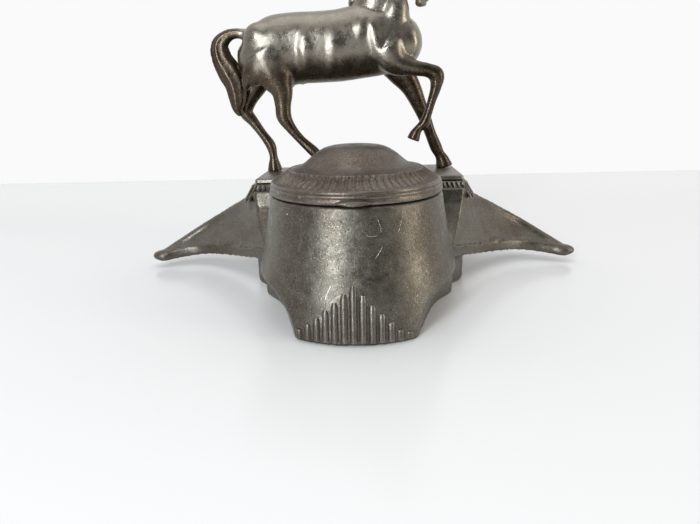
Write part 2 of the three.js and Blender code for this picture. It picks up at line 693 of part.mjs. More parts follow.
// Part of one smooth casting through its stations, from share start to share end of its length,
// in the plane y; grow swells it all round.
function casting(chain, y, { start = 0, end = 1, grow = 0, sides = 10 } = {}) {
  const at = centreLine(chain);
  const size = new THREE.CatmullRomCurve3(chain.map(([, , r, w]) => point(r, w, 0)));
  const count = Math.round((chain.length - 1) * 2 * (end - start));
  const rings = stations(start, end, count).map((f) => {
    const centre = at.getPoint(f);
    const along = at.getTangent(f);
    const half = size.getPoint(f);
    return stations(0, 1 - 1 / sides, sides - 1).map((turn) => {
      const out = (half.x + grow) * Math.cos(turn * Math.PI * 2);
      const side = (half.y + grow) * Math.sin(turn * Math.PI * 2);
      return point(centre.x + along.z * out, y + side, centre.z - along.x * out)
        .multiplyScalar(HORSE)
        .add(point(0, PLINTH_MIDDLE, HOOF_BOTTOM));
    });
  });
  return loft(rings);
}

const centreLine = (chain) => new THREE.CatmullRomCurve3(chain.map(([x, z]) => point(x, 0, z)));

// A limb parted at one of its stations: the stub stays on the body, and the rest is a casting
// of its own, located by a spigot in the stub's socket and soldered.
function limb(chain, y, joint) {
  const share = joint / (chain.length - 1);
  const along = centreLine(chain).getTangent(share);
  const [x, z, half] = chain[joint];
  const place = point(x, y, z)
    .multiplyScalar(HORSE)
    .add(point(0, PLINTH_MIDDLE, HOOF_BOTTOM));
  const down = (distance) => place.clone().addScaledVector(along, distance);
  const saw = rod((half + 3) * HORSE, down(-JOINT_GAP), down(1));
  const socketDepth = SPIGOT_LENGTH + JOINT_GAP;
  const socket = rod(SPIGOT_RADIUS + JOINT_GAP, down(-socketDepth), down(1), 10);
  const spigot = rod(SPIGOT_RADIUS, down(-SPIGOT_LENGTH), down(1), 10);
  const stub = casting(chain, y, { end: share }).subtract(saw.add(socket));
  const free = casting(chain, y, { start: share }).add(spigot);
  return { stub, free, socket };
}

function ears() {
  const halves = [2.2, 1.7, 0.5]; // from root to tip
  const ear = (y) => {
    const root = point(20.4, y, 97);
    const top = point(21.4, y * 1.25, 106);
    const rings = [root, root.clone().lerp(top, 0.5), top].map((centre, i) => {
      const half = halves[i];
      return stations(0, 5 / 6, 5).map((turn) => {
        const out = half * Math.cos(turn * Math.PI * 2);
        const side = half * 0.7 * Math.sin(turn * Math.PI * 2);
        return point(centre.x + out, centre.y + side, centre.z)
          .multiplyScalar(HORSE)
          .add(point(0, PLINTH_MIDDLE, HOOF_BOTTOM));
      });
    });
    return loft(rings);
  };
  return ear(-2.6).add(ear(2.6));
}

// ---------------------------------------------------------------- fasteners
const SCREW_PLACES = [
  [-41.2, FAR],
  [-15, NEAR],
  [40.2, FAR],
].map(([x, y]) => [x * HORSE, PLINTH_MIDDLE + y * HORSE]);
const WASHER_TOP = WEB_BOTTOM - JOINT_GAP;
const HEAD_TOP = WASHER_TOP - WASHER_THICKNESS - JOINT_GAP;

const upright = (radius, [x, y], low, high, sides = 20) =>
  rod(radius, point(x, y, low), point(x, y, high), sides);

function screwHoles() {
  const hole = SCREW_RADIUS + SCREW_CLEARANCE;
  const top = HOOF_BOTTOM + SCREW_GRIP + SCREW_CLEARANCE;
  return unite(SCREW_PLACES.map((place) => upright(hole, place, WEB_BOTTOM - 1, top)));
}

function screw(place) {
  const [x, y] = place;
  const headBottom = HEAD_TOP - SCREW_HEAD_HEIGHT;
  const shank = upright(SCREW_RADIUS, place, HEAD_TOP - 0.5, HOOF_BOTTOM + SCREW_GRIP);
  const head = upright(SCREW_HEAD_RADIUS, place, headBottom, HEAD_TOP);
  const slot = block(
    [x - SCREW_HEAD_RADIUS - 1, y - SCREW_SLOT_WIDTH / 2, headBottom - 1],
    [x + SCREW_HEAD_RADIUS + 1, y + SCREW_SLOT_WIDTH / 2, headBottom + SCREW_HEAD_HEIGHT / 2],
  );
  return shank.add(head).subtract(slot);
}

function washer(place) {
  const disc = upright(WASHER_RADIUS, place, WASHER_TOP - WASHER_THICKNESS, WASHER_TOP);
  const hole = upright(SCREW_RADIUS + SCREW_CLEARANCE, place, HEAD_TOP - 1, WASHER_TOP + 1);
  return disc.subtract(hole);
}

// ---------------------------------------------------------------- base casting and plate
function baseCasting() {
  const right = tray().add(wingTip());
  const pot = potBody().subtract(scoops(0));
  const outside = unite([pot, skirt(0), saddle(0), right, mirrored(right), plinth()]);
  const hollowTray = trayHollow();
  const middle = unite([potHollow(), skirt(WALL), saddle(WALL)]).subtract(scoops(WALL));
  const hollow = unite([middle, hollowTray, mirrored(hollowTray), plinthHollow()]);
  const trimmed = unite([outside.subtract(hollow), frontReeds(), potKnuckles()]);
  return trimmed.subtract(unite([potMouth(), hingeBore(), screwHoles()]));
}

function figurePlate() {
  const plate = loft([plinthRing(0, PLATE_BOTTOM), plinthRing(0, PLATE_TOP)]);
  return plate.subtract(screwHoles());
}

// ---------------------------------------------------------------- assembly
const LIMBS = {
  horse_near_foreleg: limb(NEAR_FORELEG, NEAR, 2),
  horse_far_foreleg: limb(FAR_FORELEG, FAR, 2),
  horse_near_hind_leg: limb(NEAR_HIND_LEG, NEAR, 2),
  horse_far_hind_leg: limb(FAR_HIND_LEG, FAR, 2),
  horse_tail: limb(TAIL, 0, 2),
};

function horseBody() {
  const trunk = [casting(TORSO, 0, { sides: 14 }), casting(NECK, 0), casting(HEAD, 0), ears()];
  const stubs = Object.values(LIMBS).map(({ stub }) => stub);
  const sockets = Object.values(LIMBS).map(({ socket }) => socket);
  return unite([...trunk, ...stubs]).subtract(unite(sockets));
}

// The hooves are ground flat where they stand on the plate.
function horseLimbs() {
  const clearance = casting(TORSO, 0, { sides: 14, grow: JOINT_GAP });
  const ground = block(
    [-PLINTH_WIDTH, PLINTH_FRONT, 0],
    [PLINTH_WIDTH, PLINTH_FRONT + PLINTH_DEPTH, HOOF_BOTTOM],
  );
  return Object.entries(LIMBS).map(([name, { free }]) => {
    const body = free.subtract(unite([clearance, ground, screwHoles()]));
    return named(name, body, BRONZED);
  });
}

const inkwell = new THREE.Group();
inkwell.add(named("base_casting", baseCasting(), BRONZED));
inkwell.add(named("figure_plate", figurePlate(), BRONZED_DARK));
inkwell.add(named("lid", lid(), BRONZED));
inkwell.add(named("hinge_pin", hingePin(), STEEL));
inkwell.add(named("ink_liner", inkLiner(), PORCELAIN));
inkwell.add(named("horse_body", horseBody(), BRONZED));
inkwell.add(...horseLimbs());
SCREW_PLACES.forEach((place, i) => {
  inkwell.add(named(`figure_screw_${i + 1}`, screw(place), BRASS));
  inkwell.add(named(`figure_washer_${i + 1}`, washer(place), STEEL));
});

export default inkwell;
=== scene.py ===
"""Desk inkwell with a horse figure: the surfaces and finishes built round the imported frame.

Lengths in this file are millimetres unless a name says otherwise. Each finished piece is brought
to metres in the frame's own axes: +Z up, -Y to the front, +X the way the horse faces.
"""

import math
import random

import bmesh
import bpy
from mathutils import Matrix, Vector


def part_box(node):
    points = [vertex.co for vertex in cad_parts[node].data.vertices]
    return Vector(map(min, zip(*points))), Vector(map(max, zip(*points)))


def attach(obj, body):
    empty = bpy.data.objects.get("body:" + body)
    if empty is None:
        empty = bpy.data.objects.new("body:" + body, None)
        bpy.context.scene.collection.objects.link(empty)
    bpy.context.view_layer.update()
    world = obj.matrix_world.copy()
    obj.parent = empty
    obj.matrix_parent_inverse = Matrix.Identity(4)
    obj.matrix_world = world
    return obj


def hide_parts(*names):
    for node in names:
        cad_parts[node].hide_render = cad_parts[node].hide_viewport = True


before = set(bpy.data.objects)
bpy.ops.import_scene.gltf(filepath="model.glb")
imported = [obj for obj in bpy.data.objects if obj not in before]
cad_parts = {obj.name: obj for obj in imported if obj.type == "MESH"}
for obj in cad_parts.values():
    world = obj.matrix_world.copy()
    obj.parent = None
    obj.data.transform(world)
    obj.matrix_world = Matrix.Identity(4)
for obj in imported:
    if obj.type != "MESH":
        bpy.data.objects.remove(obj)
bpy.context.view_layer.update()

bl_info = {
    "name": "Desk inkwell",
    "version": (1, 0, 0),
    "blender": (4, 5, 0),
    "location": "3D View > Sidebar > Inkwell",
    "description": "Builds the castings, lid, liner, horse and stage of a desk inkwell",
    "category": "Object",
}

TO_METRES = 0.001
SEED = 11
MOST_TRIANGLES = 185000  # in one piece
GAP = 0.3  # between a piece and what it rests on
BELOW = -8.0  # where the cutters start, under the table


# ------------------------------------------------------------------ places taken from the frame
def millimetres(node):
    """Lowest and highest corner of a frame node."""
    low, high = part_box(node)
    return low / TO_METRES, high / TO_METRES


BASE_LOW, BASE_HIGH = millimetres("base_casting")
PLATE_LOW, PLATE_HIGH = millimetres("figure_plate")
LID_LOW, LID_HIGH = millimetres("lid")
LINER_LOW, LINER_HIGH = millimetres("ink_liner")
PIN_LOW, PIN_HIGH = millimetres("hinge_pin")
HOOF_LOW = millimetres("horse_near_hind_leg")[0]

POT_Y = (LINER_LOW.y + LINER_HIGH.y) / 2
POT_HEIGHT = LINER_HIGH.z + 0.2  # the liner sits a little below the rim
PLINTH_FRONT = PLATE_LOW.y
PLINTH_MIDDLE = (PLATE_LOW.y + PLATE_HIGH.y) / 2
PLINTH_WIDTH = PLATE_HIGH.x - PLATE_LOW.x
PLINTH_DEPTH = PLATE_HIGH.y - PLATE_LOW.y
PLINTH_HEIGHT = PLATE_LOW.z - GAP
HOOF_BOTTOM = HOOF_LOW.z
HINGE_Y = (PIN_LOW.y + PIN_HIGH.y) / 2
HINGE_Z = (PIN_LOW.z + PIN_HIGH.z) / 2
LID_BOTTOM = POT_HEIGHT + GAP

LINER_RADIUS = 24.2
LINER_WALL = 2.2
FLANGE = 2.4  # thickness of the liner's flange
LEDGE = LINER_HIGH.z - FLANGE - GAP  # top of the ledge that carries the flange
LEDGE_THICKNESS = 2.6
MOUTH_RADIUS = 27.7

BARREL_RADIUS = 2.2
BORE_RADIUS = 1.2
BORE_REACH = 9.5  # half the length of the cutter that bores the knuckles


# ------------------------------------------------------------------ shaping helpers
def mix(a, b, share):
    return a + (b - a) * share


def mm(metres):
    return metres / TO_METRES


def smooth_line(knots, count):
    """Evenly shared points on a smooth line that passes through the knots."""
    knots = [Vector(knot) for knot in knots]
    padded = [2 * knots[0] - knots[1], *knots, 2 * knots[-1] - knots[-2]]
    line = []
    for step in range(count + 1):
        place = step / count * (len(knots) - 1)
        i = min(int(place), len(knots) - 2)
        t = place - i
        p0, p1, p2, p3 = padded[i : i + 4]
        bend = (2 * p0 - 5 * p1 + 4 * p2 - p3) * t * t
        twist = (3 * p1 - p0 - 3 * p2 + p3) * t * t * t
        line.append(0.5 * (2 * p1 + (p2 - p0) * t + bend + twist))
    return line


def loft(bm, rings):
    """Solid drawn out from its first ring, ring after ring."""
    first = face = bm.faces.new([bm.verts.new(place) for place in rings[0]])
    for ring in rings[1:]:
        grown = bmesh.ops.extrude_face_region(bm, geom=[face], use_keep_orig=True)["geom"]
        if face is not first:
            bmesh.ops.delete(bm, geom=[face], context="FACES_ONLY")
        face = next(item for item in grown if isinstance(item, bmesh.types.BMFace))
        for vert, place in zip(face.verts, ring):
            vert.co = place


def spin(bm, profile, y, steps):
    """Solid of revolution about the upright axis at y; the profile runs in (radius, z)."""
    verts = [bm.verts.new((radius, y, z)) for radius, z in profile]
    edges = [bm.edges.new(pair) for pair in zip(verts, verts[1:])]
    bmesh.ops.spin(
        bm,
        geom=verts + edges,
        cent=(0, y, 0),
        axis=(0, 0, 1),
        angle=2 * math.pi,
        steps=steps,
        use_merge=True,
    )
    bmesh.ops.remove_doubles(bm, verts=bm.verts, dist=1e-4)


def ball(bm, centre, halves, tilt=0.0, fine=3):
    """Ellipsoid, tilted about the line that runs front to back."""
    turn = Matrix.Rotation(tilt, 4, "Y")
    place = Matrix.Translation(centre) @ turn @ Matrix.Diagonal((*halves, 1))
    bmesh.ops.create_icosphere(bm, subdivisions=fine, radius=1, matrix=place)


def block(bm, centre, size):
    place = Matrix.Translation(centre) @ Matrix.Diagonal((*size, 1))
    bmesh.ops.create_cube(bm, size=1, matrix=place)


def tube(bm, knots, steps, sides=16, flute=0.0, lobes=9, twist=0.0):
    """Tapered tube through (x, y, z, radius) knots; flute grooves it lengthwise."""
    line = smooth_line(knots, steps)
    rings = []
    for i, knot in enumerate(line):
        before, after = line[max(i - 1, 0)], line[min(i + 1, steps)]
        along = (after.xyz - before.xyz).normalized()
        side = along.orthogonal() if i == 0 else side - along * side.dot(along)
        side = side.normalized()
        other = along.cross(side)
        ring = []
        for k in range(sides):
            turn = 2 * math.pi * k / sides
            groove = abs(math.sin(lobes / 2 * turn + twist * i / steps))
            reach = knot.w * (1 - flute * groove)
            out = side * math.cos(turn) * reach + other * math.sin(turn) * reach
            ring.append(knot.xyz + out)
        rings.append(ring)
    loft(bm, rings)


def mirrored(bm):
    """Adds the other hand of everything in the mesh."""
    twin = bmesh.ops.duplicate(bm, geom=bm.verts[:] + bm.edges[:] + bm.faces[:])["geom"]
    verts = [item for item in twin if isinstance(item, bmesh.types.BMVert)]
    faces = [item for item in twin if isinstance(item, bmesh.types.BMFace)]
    bmesh.ops.scale(bm, vec=(-1, 1, 1), verts=verts)
    bmesh.ops.reverse_faces(bm, faces=faces)


def as_object(name, bm):
    """Closes the working mesh into an object, with its faces pointing out."""
    bmesh.ops.recalc_face_normals(bm, faces=bm.faces)
    mesh = bpy.data.meshes.new(name)
    bm.to_mesh(mesh)
    bm.free()
    obj = bpy.data.objects.new(name, mesh)
    bpy.context.scene.collection.objects.link(obj)
    return obj


def settle(obj):
    """Bakes the modifiers into the mesh."""
    bpy.context.view_layer.update()
    shaped = obj.evaluated_get(bpy.context.evaluated_depsgraph_get())
    mesh = bpy.data.meshes.new_from_object(shaped)
    old = obj.data
    obj.modifiers.clear()
    obj.data = mesh
    bpy.data.meshes.remove(old)


def skin_over(obj, voxel):
    """One even skin over everything that overlaps in the mesh."""
    modifier = obj.modifiers.new("Skin", "REMESH")
    modifier.mode = "VOXEL"
    modifier.voxel_size = voxel
    settle(obj)


def soften(obj, rounds, group=None, factor=0.5):
    modifier = obj.modifiers.new("Soften", "SMOOTH")
    modifier.factor = factor
    modifier.iterations = rounds
    if group:
        modifier.vertex_group = group
    settle(obj)


def combine(obj, tool, operation):
    """Joins the tool to the object or cuts it away, and discards it."""
    modifier = obj.modifiers.new("Combine", "BOOLEAN")
    modifier.operation = operation
    modifier.object = tool
    modifier.solver = "MANIFOLD"
    settle(obj)
    bpy.data.objects.remove(tool)


def joined(first, second):
    """Both meshes in one object."""
    bm = bmesh.new()
    bm.from_mesh(first.data)
    bm.from_mesh(second.data)
    bpy.data.objects.remove(second)
    bm.to_mesh(first.data)
    bm.free()
    return first


def thin_out(obj, triangles=MOST_TRIANGLES):
    """Brings the mesh under a number of triangles."""
    count = sum(len(face.vertices) - 2 for face in obj.data.polygons)
    if count > triangles:
        modifier = obj.modifiers.new("Thin", "DECIMATE")
        modifier.ratio = triangles / count
        settle(obj)


def finish_piece(obj, body, material, replaced, crease=None):
    """Brings a piece to metres, gives it its finish and hands it to the frame."""
    obj.data.transform(Matrix.Scale(TO_METRES, 4))
    obj.data.materials.clear()
    obj.data.materials.append(material)
    for face in obj.data.polygons:
        face.use_smooth = True
    if crease:
        obj.data.set_sharp_from_angle(angle=math.radians(crease))
    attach(obj, body)
    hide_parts(*replaced)


# ------------------------------------------------------------------ node helpers
class Graph:
    """Small builder for one material's nodes."""

    def __init__(self, name):
        self.material = bpy.data.materials.new(name)
        self.material.use_nodes = True
        self.nodes = self.material.node_tree.nodes
        self.links = self.material.node_tree.links
        self.shader = self.nodes["Principled BSDF"]
        self.place = self.nodes.new("ShaderNodeTexCoord").outputs["Object"]

    def axes(self):
        """The place's own X, Y and Z."""
        split = self.nodes.new("ShaderNodeSeparateXYZ")
        self.links.new(self.place, split.inputs[0])
        return split.outputs

    def put(self, value, socket):
        if isinstance(value, bpy.types.NodeSocket):
            self.links.new(value, socket)
        else:
            socket.default_value = value

    def math(self, operation, a, b=0.0, c=0.0, clamp=False):
        node = self.nodes.new("ShaderNodeMath")
        node.operation = operation
        node.use_clamp = clamp
        for value, socket in zip((a, b, c), node.inputs):
            self.put(value, socket)
        return node.outputs[0]

    def stretched(self, scale, turn=(0, 0, 0), shift=(0, 0, 0)):
        node = self.nodes.new("ShaderNodeMapping")
        node.inputs["Scale"].default_value = scale
        node.inputs["Rotation"].default_value = turn
        node.inputs["Location"].default_value = shift
        self.links.new(self.place, node.inputs["Vector"])
        return node.outputs[0]

    def noise(self, size, detail=3.0, rough=0.55, where=None, distortion=0.0):
        """Noise whose blotches are about size millimetres."""
        node = self.nodes.new("ShaderNodeTexNoise")
        node.inputs["Scale"].default_value = 1 / (size * TO_METRES) if where is None else size
        node.inputs["Detail"].default_value = detail
        node.inputs["Roughness"].default_value = rough
        node.inputs["Distortion"].default_value = distortion
        self.links.new(where or self.place, node.inputs["Vector"])
        return node.outputs["Fac"]

    def steps(self, value, low, high, out_low=0.0, out_high=1.0):
        """Smooth step of a value from low to high."""
        node = self.nodes.new("ShaderNodeMapRange")
        node.interpolation_type = "SMOOTHSTEP"
        limits = {"From Min": low, "From Max": high, "To Min": out_low, "To Max": out_high}
        for name, number in limits.items():
            node.inputs[name].default_value = number
        self.links.new(value, node.inputs["Value"])
        return node.outputs["Result"]

    def blend(self, share, a, b):
        node = self.nodes.new("ShaderNodeMix")
        node.data_type = "RGBA"
        self.put(share, node.inputs[0])
        self.put(a, node.inputs[6])
        self.put(b, node.inputs[7])
        return node.outputs[2]

    def bump(self, height, depth, under=None):
        """Bump of depth millimetres laid over the bump under it."""
        node = self.nodes.new("ShaderNodeBump")
        node.inputs["Distance"].default_value = depth * TO_METRES
        self.links.new(height, node.inputs["Height"])
        if under is not None:
            self.links.new(under, node.inputs["Normal"])
        return node.outputs["Normal"]

    def surface(self, **inputs):
        """Gives the shader its inputs: base_color, metallic, roughness and so on."""
        for name, value in inputs.items():
            self.put(value, self.shader.inputs[name.replace("_", " ").title()])

    def pointiness(self):
        """How far the surface stands out (above a half) or lies in a hollow (below it)."""
        return self.nodes.new("ShaderNodeNewGeometry").outputs["Pointiness"]


def rgb(hexa):
    """Linear colour of a six-digit display colour."""
    parts = [int(hexa[i : i + 2], 16) / 255 for i in (0, 2, 4)]
    linear = [p / 12.92 if p <= 0.04045 else ((p + 0.055) / 1.055) ** 2.4 for p in parts]
    return (*linear, 1.0)


def hairlines(graph, seed):
    """Fine straight scratches in a few directions, broken up into short runs."""
    rng = random.Random(seed)
    total = None
    for _ in range(3):
        turn = tuple(rng.uniform(0, math.pi) for _ in range(3))
        lines = graph.noise(1.0, 1.0, 0.4, graph.stretched((60, 1900, 60), turn))
        runs = graph.noise(1.0, 2.0, 0.5, graph.stretched((90, 90, 90), turn, (seed, 0, 0)))
        thin = graph.steps(lines, 0.73, 0.76)
        kept = graph.math("MULTIPLY", thin, graph.steps(runs, 0.58, 0.66))
        total = kept if total is None else graph.math("MAXIMUM", total, kept)
    return total


def arc_scratch(graph, centre, radius, middle, length, width):
    """One curved scratch on the front of the pot, all in the x-z plane of the front view."""
    place = graph.axes()

    def distance(x, z):
        across = graph.math("SUBTRACT", place["X"], x * TO_METRES)
        upward = graph.math("SUBTRACT", place["Z"], z * TO_METRES)
        squares = [graph.math("POWER", leg, 2.0) for leg in (across, upward)]
        return graph.math("SQRT", graph.math("ADD", *squares))

    off_line = graph.math("SUBTRACT", distance(*centre), radius * TO_METRES)
    off_line = graph.math("ABSOLUTE", off_line)
    line = graph.steps(off_line, width * TO_METRES, 0.2 * width * TO_METRES)
    half = 0.5 * length * TO_METRES
    near = graph.steps(distance(*middle), half, 0.5 * half)
    front = graph.steps(place["Y"], POT_Y * TO_METRES, (POT_Y - 5) * TO_METRES)
    return graph.math("MULTIPLY", graph.math("MULTIPLY", line, near), front)


# Painted light on the figure's upper body starts, and is full, at these heights.
TRUNK_LIGHT_FROM, TRUNK_LIGHT_FULL = 43, 55  # heights above the hooves
TAIL_END, RUMP_END = -54.5, -50.5


def painted_trunk_light(graph):
    """How far the figure's rump, ribs, shoulders and neck take a painted lighter grey, standing in
    for the light on the upper body; belly, legs and tail stay darker.
    """
    place = graph.axes()
    ragged = graph.math("MULTIPLY_ADD", graph.noise(9, 4.0, 0.6), 0.012, -0.006)
    level = graph.math("ADD", place["Z"], ragged)
    low, high = HOOF_BOTTOM + TRUNK_LIGHT_FROM, HOOF_BOTTOM + TRUNK_LIGHT_FULL
    above = graph.steps(level, low * TO_METRES, high * TO_METRES)
    off_tail = graph.steps(place["X"], TAIL_END * TO_METRES, RUMP_END * TO_METRES)
    return graph.math("MULTIPLY", above, off_tail)


PIT_COLOUR = rgb("2a241f")
# Dark colour laid into hollows and creases: partly the patina's own dark, partly painted shade.
HOLLOW_PATINA_AND_SHADE_COLOUR = rgb("1a1512")


def patina(
    name, dark, light, haze, bare, roughness, grain, wear, seed, scratches=(), trunk=None
):
    """Bronzed zinc: blotched brown and olive lacquer, bare silvery metal where hands rub it, and
    dark patina with painted shade in its hollows.
    """
    graph = Graph(name)
    blotches = graph.steps(graph.noise(24, 4.0, 0.6), 0.36, 0.66)
    clouds = graph.steps(graph.noise(7, 5.0, 0.65), 0.35, 0.7)
    colour = graph.blend(blotches, dark, light)
    colour = graph.blend(graph.math("MULTIPLY", clouds, 0.4), colour, haze)
    specks = graph.steps(graph.noise(0.42, 2.0, 0.6), 0.55, 0.7)
    colour = graph.blend(graph.math("MULTIPLY", specks, 0.4), colour, bare)
    pits = graph.steps(graph.noise(0.6, 2.0, 0.5), 0.42, 0.32)
    colour = graph.blend(graph.math("MULTIPLY", pits, 0.5), colour, PIT_COLOUR)
    # Painted light: the figure's upper trunk is blended to a lighter grey, standing in for the
    # light that falls on it.
    if trunk:
        share = graph.math("MULTIPLY", painted_trunk_light(graph), 0.85)
        colour = graph.blend(share, colour, trunk)
    out = graph.pointiness()
    # Patina and painted shade: hollows, creases and the grooves between ribs are darkened,
    # standing in for the shade that falls there.
    hollow = graph.steps(out, 0.485, 0.44)
    colour = graph.blend(graph.math("MULTIPLY", hollow, 0.85), colour, HOLLOW_PATINA_AND_SHADE_COLOUR)
    patchy = graph.steps(clouds, 0.1, 0.7, 0.35, 1.0)
    rubbed = graph.math("MULTIPLY", graph.steps(out, 0.52, 0.58), patchy)
    lines = graph.math("MULTIPLY", hairlines(graph, seed), 0.18)
    marks = graph.math("MAXIMUM", graph.math("MULTIPLY", rubbed, wear), lines)
    for scratch in scratches:
        marks = graph.math("MAXIMUM", marks, arc_scratch(graph, *scratch))
    colour = graph.blend(marks, colour, bare)
    dull = graph.steps(graph.noise(3, 4.0, 0.6), 0.3, 0.7, roughness - 0.07, roughness + 0.09)
    dull = graph.math("SUBTRACT", dull, graph.math("MULTIPLY", marks, 0.12))
    swell = graph.bump(graph.noise(6, 2.0, 0.5), 0.22)
    cast = graph.bump(graph.noise(0.5, 3.0, 0.6), grain, swell)
    sunk = graph.math("ADD", marks, graph.math("MULTIPLY", pits, 0.6))
    cut = graph.bump(graph.math("SUBTRACT", 1.0, sunk), 0.03, cast)
    graph.surface(base_color=colour, metallic=0.92, roughness=dull, normal=cut)
    return graph.material


# Scratches on the pot's front: centre of the arc (x, z), its radius, the scratch's middle,
# its length and its width.
FRONT_SCRATCHES = (
    ((4.3, 12.2), 14.0, (-8.6, 17.7), 6.5, 0.2),
    ((-1.6, 35.5), 10.0, (8.0, 38.1), 6.0, 0.06),
    ((5.6, 39.8), 5.0, (5.6, 34.8), 5.0, 0.06),
    ((-9.0, 40.6), 20.0, (7.6, 29.4), 6.0, 0.06),
    ((-0.6, 42.5), 16.0, (14.6, 37.7), 7.0, 0.06),
    ((-10.3, 34.3), 9.0, (-5.2, 26.9), 4.0, 0.05),
    ((-22.0, 40.3), 0.1, (-22.0, 40.3), 1.4, 0.3),
)


def spelter():
    colours = rgb("5a5148"), rgb("6a655b"), rgb("77746b")
    return patina("bronzed_spelter", *colours, rgb("b9b6ae"), 0.36, 0.05, 0.26, 3, FRONT_SCRATCHES)


def lid_spelter():
    colours = rgb("5d5249"), rgb("6b6259"), rgb("77736a")
    return patina("lid_bronze", *colours, rgb("b4afa4"), 0.37, 0.05, 0.45, 5)


def figure_spelter():
    colours = rgb("43372b"), rgb("51463a"), rgb("5b5245")
    # trunk is the painted light grey of the figure's upper body.
    bare, trunk = rgb("a89c8a"), rgb("928b80")
    return patina("figure_bronze", *colours, bare, 0.28, 0.005, 0.15, 7, trunk=trunk)


def plate_spelter():
    colours = rgb("675f55"), rgb("787268"), rgb("827e74")
    return patina("plate_bronze", *colours, rgb("bcb8ae"), 0.4, 0.06, 0.3, 9)


def porcelain():
    graph = Graph("white_porcelain")
    low, high = LINER_LOW.z * TO_METRES, LINER_HIGH.z * TO_METRES
    wobble = graph.math("MULTIPLY", graph.noise(9, 3.0), 0.006)
    level = graph.math("SUBTRACT", graph.axes()["Z"], wobble)
    stain = graph.steps(level, mix(low, high, 0.45), mix(low, high, 0.12))
    cloudy = graph.steps(graph.noise(12, 4.0), 0.35, 0.7)
    tint = graph.blend(cloudy, rgb("ece8db"), rgb("f4f2ea"))
    graph.surface(
        base_color=graph.blend(stain, tint, rgb("2a3048")),
        roughness=graph.steps(graph.noise(4, 3.0), 0.3, 0.7, 0.08, 0.2),
        normal=graph.bump(graph.noise(5, 2.0), 0.12),
        coat_weight=0.4,
    )
    return graph.material


def plain_metal(name, colour, dull, seed):
    """Turned metal with fine tool marks and a little tarnish."""
    graph = Graph(name)
    tarnish = graph.steps(graph.noise(1.6, 4.0, 0.6), 0.4, 0.7)
    lines = hairlines(graph, seed)
    shade = graph.blend(graph.math("MULTIPLY", tarnish, 0.6), colour, rgb("4a4030"))
    graph.surface(
        base_color=graph.blend(graph.math("MULTIPLY", lines, 0.4), shade, rgb("e0dccf")),
        metallic=1.0,
        roughness=graph.steps(tarnish, 0.0, 1.0, dull, dull + 0.2),
        normal=graph.bump(graph.noise(0.3, 2.0), 0.02),
    )
    return graph.material


# ------------------------------------------------------------------ ink pot
FOOT_HALF_WIDTH = 20.3
HEEL = (36.6, 9.4)  # pot-centred place where a side scoop ends


def pot_outline(settings):
    """Half outline of the pot's side, from the table up."""
    foot_radius, rim_radius = mm(settings.foot_radius), mm(settings.rim_radius)
    knots = [
        (foot_radius, 0),
        (foot_radius + 0.1, 0.11 * POT_HEIGHT),
        (foot_radius - 1.3, 0.36 * POT_HEIGHT),
        (rim_radius + 2.9, 0.61 * POT_HEIGHT),
        (rim_radius + 1.1, 0.84 * POT_HEIGHT),
        (rim_radius, POT_HEIGHT),
    ]
    return [(p.x, p.y) for p in smooth_line(knots, 30)]


def pot_radius_at(outline, height):
    below = max((p for p in outline if p[1] <= height), key=lambda p: p[1])
    above = min((p for p in outline if p[1] > height), key=lambda p: p[1])
    return mix(below[0], above[0], (height - below[1]) / (above[1] - below[1]))


def scoop_ring(share, grow, settings):
    """One level of the cutter that hollows the pot's side beside its front foot."""
    foot, flare = mm(settings.foot_radius), mm(settings.scoop_flare)
    lean = flare * (1 - math.sqrt(1 - share**2)) - grow
    front = -math.sqrt(foot**2 - FOOT_HALF_WIDTH**2)
    edge = smooth_line(
        [(FOOT_HALF_WIDTH, front), (FOOT_HALF_WIDTH + 6.3, front * 0.3), (foot * 0.8, 0), HEEL], 16
    )
    far = foot + flare + 4
    outline = [(FOOT_HALF_WIDTH - 2, front - 12), *[(p.x, p.y) for p in edge]]
    outline += [(HEEL[0] + 6, HEEL[1] + 2), (far, HEEL[1]), (far, front - 12)]
    level = share * (mm(settings.scoop_height) + grow)
    return [Vector((min(far, x + lean), POT_Y + y + grow, level)) for x, y in outline]


SCOOP_LEVELS = (0, 0.2, 0.4, 0.55, 0.7, 0.82, 0.92, 0.98, 1)


def scoops(settings, grow=0.0):
    bm = bmesh.new()
    rings = [scoop_ring(share, grow, settings) for share in SCOOP_LEVELS]
    below = [Vector((p.x, p.y, BELOW)) for p in rings[0]]
    loft(bm, [below, *rings])
    mirrored(bm)
    return as_object("scoops", bm)


def pot_solid(settings):
    bm = bmesh.new()
    outline = pot_outline(settings)
    spin(bm, [(0, 0), *outline, (0, POT_HEIGHT)], POT_Y, 180)
    pot = as_object("pot", bm)
    combine(pot, scoops(settings), "DIFFERENCE")
    return pot


REED_FOOT = 1.3
TALLEST_REED, SHORTEST_REED = 19.6, 3.2
REED_DROP_LEFT, REED_DROP_RIGHT = 2.6, 3.0  # from each reed to the next one out


def front_reeds(settings):
    """Graduated ribs with round heads on the front foot, tallest in the middle."""
    bm = bmesh.new()
    outline = pot_outline(settings)
    radius = mm(settings.reed_radius)
    middle = (settings.reed_count - 1) / 2
    for i in range(settings.reed_count):
        x = (i - middle) * settings.reed_pitch / TO_METRES - 0.6
        drop = REED_DROP_LEFT if i < middle else REED_DROP_RIGHT
        top = max(TALLEST_REED - abs(i - middle) * drop, SHORTEST_REED)
        knots = []
        for share in (0, 0.25, 0.5, 0.75, 0.9, 1.0):
            z = mix(REED_FOOT, top, share)
            reach = pot_radius_at(outline, z) - 0.55 - 0.6 * max(0.0, share - 0.8)
            size = radius * (0.72 if share == 1 else 1)
            y = POT_Y - math.sqrt(reach**2 - x**2)
            knots.append((x * (1 - 0.012 * z / 10), y, z, size))
        tube(bm, knots, 14, 12)
    return as_object("reeds", bm)


